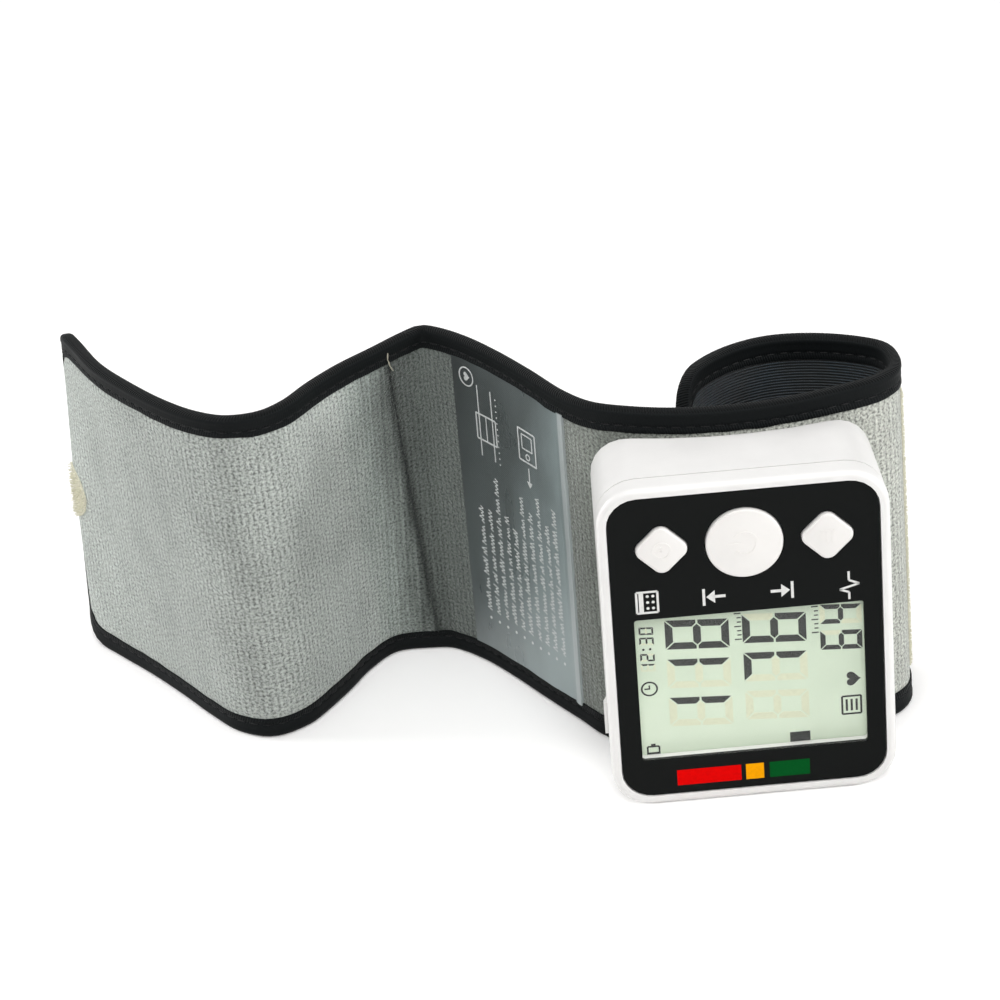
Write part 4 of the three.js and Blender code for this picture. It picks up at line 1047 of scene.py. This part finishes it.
def woven_nylon(name, colour):
    """Plain-woven dark nylon with a slight shine on its ribs and paler, bluish patches of painted sheen."""
    material, shader = surface(name, {
        "Sheen Weight": 0.08,
        "Sheen Roughness": 0.4,
        "Specular IOR Level": 0.35,
    })
    place = weave_place(material)
    along, up, _ = axes(material, place)
    weft = waves(material, up, WEFT_PITCH)
    crossing = reckon(material, "MULTIPLY", waves(material, along, WARP_PITCH), weft)
    crossed = reckon(material, "MULTIPLY", crossing, 0.15)
    woven = reckon(material, "ADD", crossed, reckon(material, "MULTIPLY", weft, 0.35))
    height = reckon(material, "ADD", woven, 0.5)
    cloud = clouds(material, stretched(material, place, 0.08, 0.05), 1, 4)
    ribs = ramp(material, height, (0.15, shade(colour, 0.05)), (0.85, shade(colour, 2.2)))
    # Painted sheen: paler, bluish patches over the weave
    painted_sheen_patches = ramp(material, cloud, (0.32, grey(0.55)), (0.5, grey(1.0)), (0.66, (1.35, 1.6, 1.8)))
    feed(material, shader, {
        "Base Color": layered(material, ribs, painted_sheen_patches),
        "Roughness": spread(material, height, 0.55, 0.3),
        "Normal": relief(material, height, 0.0006, 0.9),
    })
    return material


velour = brushed_velour("velour_grey", (0.350, 0.374, 0.350))
# The loop's velour is the same cloth as the rest, given a lighter colour as painted light on the loop
loop_velour_painted_light = brushed_velour("velour_loop_painted_light", (0.394, 0.404, 0.368), False)
lining_nylon = woven_nylon("lining_nylon", (0.0080, 0.0125, 0.0150))

# Offsets of each layer's inner and outer face from the middle of the strip
VELOUR_PLY = (0.06, 0.98)
LINING_PLY = (-0.98, -0.06)
LOOP_VELOUR_PLY = (0.48, 0.98)
LOOP_LINING_PLY = (-0.98, -0.68)
BLADDER_PLY = (-0.56, -0.26)
BLADDER_MARGIN = 8.5
BLADDER_START = station_length(22)
BLADDER_END = station_length(34)
HEM = 1.1
CLOTH_CREASE = 60

bladder_film = soft_rubber("bladder_film", (0.06, 0.06, 0.065), 0.6)
bladder_shape = cloth_strip(BLADDER_START, BLADDER_END, BLADDER_MARGIN, *BLADDER_PLY)
bladder = finished(bladder_shape, "bladder", bladder_film, CLOTH_CREASE)
fit(bladder, "monitor", "rubber_dark", "air_bladder")


def cuff_cloth(name, material, start, end, ply, rounded="", swell=None):
    """One cut of cloth, reaching into the fold of the tape at its edges."""
    return finished(cloth_strip(start, end, HEM, *ply, rounded, swell), name, material, CLOTH_CREASE)


tail_face = cuff_cloth("tail_velour", velour, HEM, SEAM, VELOUR_PLY, "start", pile_swell)
tail_back = cuff_cloth("tail_inside", lining_nylon, HEM, SEAM, LINING_PLY, "start")
print_face = cuff_cloth("print_velour", velour, SEAM, ROOT, VELOUR_PLY, "", print_swell)
print_back = cuff_cloth("print_inside", lining_nylon, SEAM, ROOT, LINING_PLY)
loop_face = cuff_cloth("loop_velour_painted_light", loop_velour_painted_light, ROOT, CUFF_LENGTH - HEM, LOOP_VELOUR_PLY, "end")
loop_back = cuff_cloth("loop_inside", lining_nylon, ROOT, CUFF_LENGTH - HEM, LOOP_LINING_PLY, "end")


# Edge tape
# A black twill tape is folded over both edges and round both ends, and lock-stitched through the cloth.
# It has a ribbed fold, a smooth band, a groove pulled in by the stitches and a soft free edge.
TAPE_STEP = 1.5
CORNER_STEPS = 10
END_STEPS = 20
TAPE_WANDER = 0.25
WANDER_START = 3.6

# Half the section from its free edge to its fold: offset from the middle of the strip, depth from the fold
TAPE_PROFILE = [
    (1.05, 4.9),
    (1.26, 4.92),
    (1.36, 4.7),
    (1.38, 4.1),
    (1.32, 3.75),
    (1.12, 3.45),
    (1.3, 3.15),
    (1.36, 2.8),
    (1.34, 1.9),
    (1.38, 1.6),
    (1.48, 1.25),
    (1.46, 0.75),
    (1.2, 0.28),
    (0.65, 0.05),
    (0.0, 0.0),
]
TAPE_INSIDE = [(-1.05, 0.95), (1.05, 0.95), (1.05, 4.9)]


def tape_path(start, end, rounded):
    """The edge a tape follows, as length, height and the way inward: along the top and back below."""
    outward = 1 if end > start else -1
    stop = end - outward * CORNER if rounded else end
    count = round(abs(stop - start) / TAPE_STEP)
    top = [(length, CUFF_HEIGHT, 0.0, -1.0) for length in np.linspace(start, stop, count)]
    if rounded:
        for turn in np.linspace(0, math.pi / 2, CORNER_STEPS)[1:]:
            length = stop + outward * CORNER * math.sin(turn)
            height = CUFF_HEIGHT - CORNER * (1 - math.cos(turn))
            top.append((length, height, -outward * math.sin(turn), -math.cos(turn)))
        for height in np.linspace(CUFF_HEIGHT - CORNER, CUFF_HEIGHT / 2, END_STEPS)[1:]:
            top.append((end, height, -outward, 0.0))
    bottom = [(length, CUFF_HEIGHT - height, along, -up) for length, height, along, up in reversed(top)]
    return top, bottom


def swept_tape(path):
    """The folded tape swept along an edge, with a wandering free edge, mapped from its fold."""
    half = TAPE_PROFILE + [(-offset, depth) for offset, depth in reversed(TAPE_PROFILE[:-1])]
    section = half + TAPE_INSIDE
    shape = bmesh.new()
    bmesh.ops.create_grid(shape, x_segments=len(path) - 1, y_segments=len(section) - 1, size=1)
    runs = running_lengths([place[:2] for place in path])
    depths = running_lengths(section)
    fold = depths[len(TAPE_PROFILE) - 1]
    step_of = {}
    for vert in shape.verts:
        step = round((vert.co.x + 1) / 2 * (len(path) - 1))
        point = round((vert.co.y + 1) / 2 * (len(section) - 1))
        step_of[vert] = (step, point)
    layer = shape.loops.layers.uv.new("weave")
    for face in shape.faces:
        for loop in face.loops:
            step, point = step_of[loop.vert]
            loop[layer].uv = (runs[step], depths[point] - fold)
    for vert, (step, point) in step_of.items():
        length, height, along, up = path[step]
        offset, depth = section[point]
        wander = TAPE_WANDER * noise.noise(Vector((runs[step] * 0.2, offset * 0.3, 7.0)))
        depth = depth * tape_width(length) + wander * smooth_share(depth - WANDER_START)
        vert.co = (length + along * depth, height + up * depth, offset)
    bmesh.ops.remove_doubles(shape, verts=shape.verts[:], dist=0.0001)
    bmesh.ops.holes_fill(shape, edges=shape.edges[:], sides=0)
    bend_onto_cuff(shape)
    return shape


def ripples(material, value, pitch):
    """A wave from 0 to 1 with that pitch."""
    return reckon(material, "ADD", reckon(material, "MULTIPLY", waves(material, value, pitch), 0.5), 0.5)


RIB_PITCH = 0.62
RIB_SLANT = 0.35
TAPE_REACH = 8.0


def twill_tape(name, colour):
    """Black twill: ribs across the fold and the free edge, with painted highlight near their tops and
    painted shade in their grooves, and a smooth pressed band between them.
    """
    material, shader = surface(name, {
        "Sheen Weight": 0.02,
        "Sheen Roughness": 0.35,
        "Specular IOR Level": 0.08,
    })
    place = weave_place(material)
    along, across, _ = axes(material, place)
    slant = reckon(material, "ADD", along, reckon(material, "MULTIPLY", across, RIB_SLANT))
    ribs = ripples(material, slant, RIB_PITCH)
    from_fold = reckon(material, "DIVIDE", reckon(material, "ABSOLUTE", across), TAPE_REACH)
    ribbed = ramp(
        material,
        from_fold,
        (0.17, grey(0.9)),
        (0.21, grey(0.06)),
        (0.5, grey(0.06)),
        (0.56, grey(0.5)),
    )
    rib_fall = reckon(material, "MULTIPLY", reckon(material, "SUBTRACT", ribs, 1.0), ribbed)
    rib_height = reckon(material, "ADD", rib_fall, 1.0)
    lint = clouds(material, place, 1.8, 5, 0.6)
    # The twill's own ribs, painted lighter near their tops as a highlight and darker in their grooves as
    # shade
    rib_tone_and_highlight = ramp(
        material,
        rib_height,
        (0.1, shade(colour, 0.3)),
        (0.8, shade(colour, 1.7)),
        (1.0, shade(colour, 1.2)),
    )
    lint_tone = ramp(material, lint, (0.35, grey(0.85)), (0.62, grey(1.0)), (0.78, grey(1.6)))
    feed(material, shader, {
        "Base Color": layered(material, rib_tone_and_highlight, lint_tone),
        "Roughness": spread(material, lint, 0.5, 0.75),
        "Normal": relief(material, rib_height, 0.0003, 0.9),
    })
    return material


def joined(shapes):
    """Several shapes as one."""
    whole = bmesh.new()
    for shape in shapes:
        part = bpy.data.meshes.new("part")
        shape.to_mesh(part)
        shape.free()
        whole.from_mesh(part)
        bpy.data.meshes.remove(part)
    return whole


black_twill = twill_tape("tape_black_twill", (0.0038, 0.0047, 0.0050))
tail_top, tail_bottom = tape_path(SEAM, 0.0, True)
print_top, print_bottom = tape_path(SEAM, ROOT, False)
loop_top, loop_bottom = tape_path(ROOT, CUFF_LENGTH, True)
tape_paths = {
    "tail": [tail_top + tail_bottom[1:]],
    "print": [print_top, print_bottom],
    "loop": [loop_top + loop_bottom[1:]],
}
trims = {}
for cuff_part, paths in tape_paths.items():
    tape_shape = joined([swept_tape(path) for path in paths])
    tape = finished(tape_shape, cuff_part + "_tape", black_twill, CLOTH_CREASE)
    edge_names = ["top", "bottom"] if cuff_part == "print" else ["top", "bottom", "end"]
    fit_cuff(tape, cuff_part, "tape", *[cuff_part + "_binding_" + edge for edge in edge_names])
    trims[cuff_part] = [tape]


# Stitches
# Polyester thread, lock-stitched in black along the groove of the tape and in grey down the seam.
# Each stitch is a short twisted strand that dips into the cloth at both ends.
STITCH_PITCH = 3.1
STITCH_LENGTH = 2.3
STITCH_RADIUS = 0.17
STITCH_DEPTH = 3.45
STITCH_OFFSET = 1.24
LOOK_AHEAD = 0.5


def add_stitch(shape, centre, way, fatness=1.0):
    """One strand, fat in the middle, lying along a way on the flat cloth."""
    turn = Matrix.Rotation(math.atan2(way[1], way[0]), 4, "Z")
    stretch = Matrix.Diagonal((STITCH_LENGTH / 2, STITCH_RADIUS, STITCH_RADIUS * fatness, 1))
    place = Matrix.Translation(centre) @ turn @ stretch
    bmesh.ops.create_uvsphere(shape, u_segments=6, v_segments=5, radius=1.0, matrix=place)


def stitch_row(path):
    """Stitches along both sides of a tape."""
    shape = bmesh.new()
    groove = []
    for length, height, along, up in path:
        depth = STITCH_DEPTH * tape_width(length)
        groove.append((length + along * depth, height + up * depth))
    runs = running_lengths(groove)
    lengths, heights = zip(*groove)
    for run in np.arange(STITCH_PITCH / 2, runs[-1] - STITCH_PITCH / 2, STITCH_PITCH):
        length, next_length = np.interp((run, run + LOOK_AHEAD), runs, lengths)
        height, next_height = np.interp((run, run + LOOK_AHEAD), runs, heights)
        way = (next_length - length, next_height - height)
        for side in (1, -1):
            add_stitch(shape, (length, height, STITCH_OFFSET * side), way)
    lay_on_cuff(shape)
    return shape


def sewing_thread(name, colour):
    """Twisted thread, darker between its turns."""
    material, shader = surface(name, {
        "Sheen Weight": 0.05,
        "Sheen Roughness": 0.4,
        "Specular IOR Level": 0.2,
    })
    along, up, _ = axes(material, weave_place(material))
    twist = ripples(material, reckon(material, "ADD", along, up), 0.3)
    feed(material, shader, {
        "Base Color": ramp(material, twist, (0.1, shade(colour, 0.5)), (0.8, colour)),
        "Roughness": spread(material, twist, 0.6, 0.45),
        "Normal": relief(material, twist, 0.0001, 0.6),
    })
    return material


black_thread = sewing_thread("thread_black", (0.006, 0.0065, 0.007))
for cuff_part, paths in tape_paths.items():
    row_shape = joined([stitch_row(path) for path in paths])
    stitches = finished(row_shape, cuff_part + "_stitches", black_thread)
    fit_cuff(stitches, cuff_part, "tape")
    trims[cuff_part].append(stitches)

SEAM_PITCH = 2.6
SEAM_OFFSET = 1.5
SEAM_LOW = 5.6
SEAM_HIGH = CUFF_HEIGHT - 5.0
seam_row = bmesh.new()
for seam_height in np.arange(SEAM_LOW, SEAM_HIGH, SEAM_PITCH):
    seam_length = SEAM + SEAM_FOOT - seam_height * SEAM_LEAN
    add_stitch(seam_row, (seam_length, seam_height, SEAM_OFFSET), (-SEAM_LEAN, 1.0), 1.2)
lay_on_cuff(seam_row)
grey_thread = sewing_thread("thread_grey", (0.028, 0.032, 0.032))
seam_stitches = finished(seam_row, "seam_stitches", grey_thread)

# Loose end of the bobbin thread at the top of the seam: place along the strip, height and lean of strands
LOOSE_STRANDS = [(-6.5, 82.0, -0.1), (-6.2, 80.1, 0.25), (-5.6, 78.5, 0.5)]
LOOSE_OFFSET = 1.6
loose_shape = bmesh.new()
for strand_length, strand_height, strand_lean in LOOSE_STRANDS:
    add_stitch(loose_shape, (SEAM + strand_length, strand_height, LOOSE_OFFSET), (strand_lean, -1.0))
lay_on_cuff(loose_shape)
loose_thread = finished(loose_shape, "loose_thread", sewing_thread("thread_cream", (0.55, 0.52, 0.42)))
for seam_piece in (seam_stitches, loose_thread):
    fit_cuff(seam_piece, "tail", "tape")
    trims["tail"].append(seam_piece)


# Printed panel
# A thin coated cloth panel welded onto the cuff between the seam and the case, with a raised weld at right.
# Its white print is lines of zigzag strokes and small pictograms, turned to read up the cuff.
PRINT_START = SEAM + 13.0
PRINT_END = ROOT + 1.6
PRINT_MARGIN = 4.8
PRINT_PLY = (1.0, 1.3)
WELD = 1.7
WELD_EDGE = 0.5
WELD_RISE = 0.35
PANEL_WAVE = 0.1


def weld_swell(length, height):
    """The welded right edge stands up, and the panel has faint waves."""
    weld = smooth_share((length - PRINT_END + WELD) / WELD_EDGE)
    wave = noise.noise(Vector((length * 0.08, height * 0.04, 11.0)))
    return WELD_RISE * weld + PANEL_WAVE * wave


def coated_cloth(name, colour):
    """Cloth with a glossy coating: painted reflection of the floor low down and to the right, painted shade
    high up towards the seam, and bright on the pressed weld.
    """
    material, shader = surface(name, {
        "Sheen Weight": 0.1,
        "Sheen Roughness": 0.5,
        "Specular IOR Level": 0.9,
    })
    place = weave_place(material)
    along, up, _ = axes(material, place)
    threads = reckon(material, "MULTIPLY", waves(material, along, 0.5), waves(material, up, 0.5))
    cloud = clouds(material, stretched(material, place, 0.1, 0.04), 1, 5)
    # Painted light and shade: lighter low down and to the right as a painted reflection of the floor,
    # darker high up towards the seam as painted shade; the clouds only make it uneven
    right = progress(material, along, PRINT_START, PRINT_END, 0.4)
    low = progress(material, up, CUFF_HEIGHT, 0.0, 0.4)
    uneven = reckon(material, "MULTIPLY", cloud, 0.3)
    haze = reckon(material, "ADD", reckon(material, "ADD", right, low), uneven)
    painted_light_coating = ramp(
        material,
        haze,
        (0.2, shade(colour, 0.38)),
        (0.45, shade(colour, 0.85)),
        (0.8, shade(colour, 3.8)),
    )
    weld_start = PRINT_END - WELD
    pressed = {
        "Fac": progress(material, along, weld_start - 0.2, weld_start + 0.1, 0.45),
        "Color1": painted_light_coating,
        "Color2": (0.55, 0.58, 0.58, 1),
    }
    height = reckon(material, "ADD", reckon(material, "MULTIPLY", threads, 0.2), cloud)
    feed(material, shader, {
        "Base Color": node(material, "ShaderNodeMixRGB", pressed, blend_type="MIX").outputs["Color"],
        "Roughness": spread(material, cloud, 0.22, 0.36),
        "Normal": relief(material, height, 0.00025, 0.35),
    })
    return material


print_shape = cloth_strip(PRINT_START, PRINT_END, PRINT_MARGIN, *PRINT_PLY, "", weld_swell)
print_grey = coated_cloth("print_grey", (0.072, 0.090, 0.091))
print_panel = finished(print_shape, "print_panel_coated", print_grey, CLOTH_CREASE)

print_marks = bmesh.new()
stroke_chance = random.Random(21)
LINE_PITCH = 3.2
LINE_COUNT = 10
LINE_LOW = 15.5
LINE_START = SEAM + 19.6
WORD_HEIGHT = 1.3
WORD_GAP = 0.9
STROKE = 0.24
STROKE_STEP = 0.48
# Lines of zigzag strokes of uneven height, with a dot before each line
for line in range(LINE_COUNT):
    v = -(LINE_START + line * LINE_PITCH)
    reach = LINE_LOW + stroke_chance.uniform(26.0, 38.0)
    ink_dot(print_marks, (LINE_LOW - 2.2, v + WORD_HEIGHT / 2), 0.4, 8)
    u = LINE_LOW
    while u < reach:
        foot = v
        for stroke in range(stroke_chance.randint(4, 11)):
            head = v + (WORD_HEIGHT * stroke_chance.uniform(0.7, 1.45) if stroke % 2 == 0 else 0.0)
            ink_bar(print_marks, (u, foot), (u + STROKE_STEP, head), STROKE)
            foot = head
            u += STROKE_STEP
        u += WORD_GAP
# A wrist as two lines with a band round it, a case with its display, a dotted line and a ring with a heart
wrist = -(PRINT_START + 10.5)
for side in (-2.4, 2.4):
    ink_bar(print_marks, (57.0, wrist + side), (75.0, wrist + side), 0.35)
ink_box(print_marks, (64.5, wrist), 6.5, 7.0, 0.4)
ink_bar(print_marks, (61.3, wrist), (67.7, wrist), 0.3)
case_mark = -(PRINT_START + 26.0)
ink_box(print_marks, (66.0, case_mark), 8.0, 6.4, 0.4)
ink_box(print_marks, (67.0, case_mark), 3.6, 3.8, 0.3)
ink_ring(print_marks, (63.4, case_mark), 0.7, 0.3)
ink_bar(print_marks, (57.0, case_mark), (60.6, case_mark), 0.35)
ink_patch(print_marks, [(57.0, case_mark + 1.0), (55.5, case_mark), (57.0, case_mark - 1.0)])
for tick in range(12):
    ink_dot(print_marks, (57.0 + tick * 1.5, -(PRINT_START + 14.6)), 0.22, 6)
ring_mark = (76.0, -(PRINT_START + 4.6))
ink_ring(print_marks, ring_mark, 2.3, 0.35)
ink_heart(print_marks, ring_mark, 2.2)
thicken(print_marks, MARK_THICKNESS)
# Long lines are cut up so that they bend with the cuff
LONG_LINE = 2.0
bmesh.ops.subdivide_edges(
    print_marks,
    edges=[edge for edge in print_marks.edges if edge.calc_length() > LONG_LINE],
    cuts=2,
    use_grid_fill=True,
)
for vert in print_marks.verts:
    u, v, rise = vert.co
    vert.co = (-v, u, PRINT_PLY[1] + weld_swell(-v, u) + rise)
bend_onto_cuff(print_marks)
print_ink = finished(print_marks, "print_panel_marks", printed_ink("ink_pale", (0.66, 0.68, 0.67), 0.5))
fit_cuff(print_panel, "print", "print", "print_panel")
fit_cuff(print_ink, "print", "print")


# Hook patches
# Cream nylon hook tape: a half-round patch near the tail's end and a strip round the loop's right bend.
# Stiff bristles stand close together on a woven ground, and they grip the velour when the cuff is wrapped.
def hook_nylon(name, colour):
    """Stiff cream nylon, a little uneven in its colour."""
    material, shader = surface(name, {"Specular IOR Level": 0.5, "Sheen Weight": 0.1})
    grain = clouds(material, object_place(material), 1800, 3)
    feed(material, shader, {
        "Base Color": ramp(material, grain, (0.3, shade(colour, 0.75)), (0.7, colour)),
        "Roughness": spread(material, grain, 0.4, 0.6),
    })
    return material


cream_nylon = hook_nylon("hook_cream", (0.74, 0.72, 0.57))
HOOK_GROUND = 1.1
HOOK_SINK = 0.1
HOOK_THICKNESS = 0.35
HOOK_STEP = 1.5
HOOK_ROWS = 24
BRISTLE_LEAN = 22
BRISTLE_SHIFT = 0.2
BRISTLE_FOOT = 0.10
BRISTLE_TIP = 0.13


def hook_tape(start, end, outline, lift, spacing, bristle, name):
    """Ground tape between two lengths, with its outline, its lift off the cloth and its bristles."""
    shape = bmesh.new()
    columns = max(6, round((end - start) / HOOK_STEP))
    bmesh.ops.create_grid(shape, x_segments=columns, y_segments=HOOK_ROWS, size=1)
    for vert in shape.verts:
        length = start + (end - start) * (vert.co.x + 1) / 2
        low, high = outline(length)
        height = low + (high - low) * (vert.co.y + 1) / 2
        vert.co = (length, height, HOOK_GROUND - HOOK_SINK + lift(length, height))
    thicken(shape, HOOK_THICKNESS)
    chance = random.Random(8)
    rows = []
    for length in np.arange(start + spacing / 2, end, spacing):
        low, high = outline(length)
        row = bmesh.new()
        rows.append(row)
        for height in np.arange(low + spacing / 2, high, spacing):
            lean = Matrix.Rotation(math.radians(chance.uniform(-BRISTLE_LEAN, BRISTLE_LEAN)), 4, "X")
            lean = lean @ Matrix.Rotation(math.radians(chance.uniform(-BRISTLE_LEAN, BRISTLE_LEAN)), 4, "Y")
            foot = Vector((
                length + chance.uniform(-BRISTLE_SHIFT, BRISTLE_SHIFT),
                height + chance.uniform(-BRISTLE_SHIFT, BRISTLE_SHIFT),
                HOOK_GROUND + lift(length, height),
            ))
            rise = bristle * chance.uniform(0.85, 1.15)
            place = Matrix.Translation(foot) @ lean @ Matrix.Translation((0, 0, rise / 2))
            bmesh.ops.create_cone(
                row,
                cap_ends=True,
                segments=4,
                radius1=BRISTLE_FOOT,
                radius2=BRISTLE_TIP,
                depth=rise,
                matrix=place,
            )
    bristled = joined([shape, *rows])
    bend_onto_cuff(bristled)
    return finished(bristled, name, cream_nylon)


PATCH_START = 5.5
PATCH_END = 12.5
PATCH_RADIUS = 7.0
STRIP_START = station_length(28.6)
STRIP_END = STRIP_START + 40.0
STRIP_MARGIN = 8.0


def patch_outline(length):
    rise = min(corner_rise(PATCH_END - length, PATCH_RADIUS), PATCH_RADIUS - 0.8)
    return CUFF_HEIGHT / 2 - PATCH_RADIUS + rise, CUFF_HEIGHT / 2 + PATCH_RADIUS - rise


def strip_outline(length):
    return STRIP_MARGIN, CUFF_HEIGHT - STRIP_MARGIN


def no_lift(length, height):
    return 0.0


tail_hooks = hook_tape(PATCH_START, PATCH_END, patch_outline, pile_swell, 0.7, 1.05, "tail_hooks")
loop_hooks = hook_tape(STRIP_START, STRIP_END, strip_outline, no_lift, 0.65, 0.6, "loop_hooks")
fit_cuff(tail_hooks, "tail", "hook", "hook_patch")
fit_cuff(loop_hooks, "loop", "hook", "loop_hook_strip")
trims["tail"].append(tail_hooks)
trims["loop"].append(loop_hooks)

CUFF_CLOTHS = [
    (tail_face, tail_back, "tail", SEAM - HEM),
    (print_face, print_back, "print", ROOT - SEAM),
    (loop_face, loop_back, "loop", CUFF_LENGTH - HEM - ROOT),
]
for face, back, cuff_part, cut_length in CUFF_CLOTHS:
    fit_cuff(face, cuff_part, "velour", cuff_part + "_cover")
    fit_cuff(back, cuff_part, "lining", cuff_part + "_lining")


# Studio
# A pale floor under soft light: boxes at both sides, one in front and one above, and even light all round.
# The floor keeps the soft shadow under the cuff and the case.
scene = bpy.context.scene
scene.view_settings.view_transform = "Standard"
FLOOR_RADIUS = 6.0
FLOOR_DROP = 0.0003
floor_shape = bmesh.new()
bmesh.ops.create_circle(floor_shape, cap_ends=True, segments=64, radius=FLOOR_RADIUS)
bmesh.ops.translate(floor_shape, verts=floor_shape.verts[:], vec=(0, 0, -FLOOR_DROP))
floor_pale, floor_shader = surface("floor_pale", {"Base Color": (0.90, 0.895, 0.89, 1), "Roughness": 0.9})
floor_shader.inputs["Emission Color"].default_value = (1.0, 0.99, 0.985, 1)


def seen_directly(material):
    """1 for rays that show the background: straight to the camera, mirrored or through a clear piece."""
    path = node(material, "ShaderNodeLightPath", {}).outputs
    mirrored = reckon(material, "MAXIMUM", path["Is Glossy Ray"], path["Is Transmission Ray"])
    return reckon(material, "MAXIMUM", path["Is Camera Ray"], mirrored)


floor_glow = spread(floor_pale, seen_directly(floor_pale), 0.0, 0.22)
feed(floor_pale, floor_shader, {"Emission Strength": floor_glow})
floor = finished(floor_shape, "floor", floor_pale)

world = bpy.data.worlds.new("studio")
world.use_nodes = True
background = world.node_tree.nodes["Background"]
background.inputs["Color"].default_value = (1.0, 1.0, 1.0, 1)
feed(world, background, {"Strength": spread(world, seen_directly(world), 0.12, 1.0)})
scene.world = world

LAMP_TARGET = Vector((-0.05, 0.02, 0.04))


def add_lamp(name, place, size, power):
    """A square soft box at a place, turned to the object."""
    lamp = bpy.data.lights.new(name, "AREA")
    lamp.size = size
    lamp.energy = power
    box = bpy.data.objects.new(name, lamp)
    box.location = place
    box.rotation_euler = (LAMP_TARGET - Vector(place)).to_track_quat("-Z", "Y").to_euler()
    scene.collection.objects.link(box)


add_lamp("left_box", (-1.5, 0.42, 0.6), 0.5, 13)
add_lamp("right_box", (1.5, -0.2, 0.6), 0.5, 13.5)
add_lamp("front_box", (-0.05, -0.9, 1.05), 0.8, 13.5)
add_lamp("top_box", (-0.05, 0.15, 1.3), 0.9, 4)


# Camera
# It stands where the picture was taken: in front, 29 degrees above the floor, with a long lens.
camera_data = bpy.data.cameras.new("camera")
camera_data.lens = 144
camera_data.sensor_width = 36
camera_data.clip_start = 0.05
camera = bpy.data.objects.new("camera", camera_data)
camera.matrix_world = Matrix((
    (0.99593, 0.08912, -0.01337, -0.06282),
    (-0.05548, 0.48947, -0.87025, -0.75400),
    (-0.07101, 0.86746, 0.49242, 0.49904),
    (0, 0, 0, 1),
))
scene.collection.objects.link(camera)
scene.camera = camera
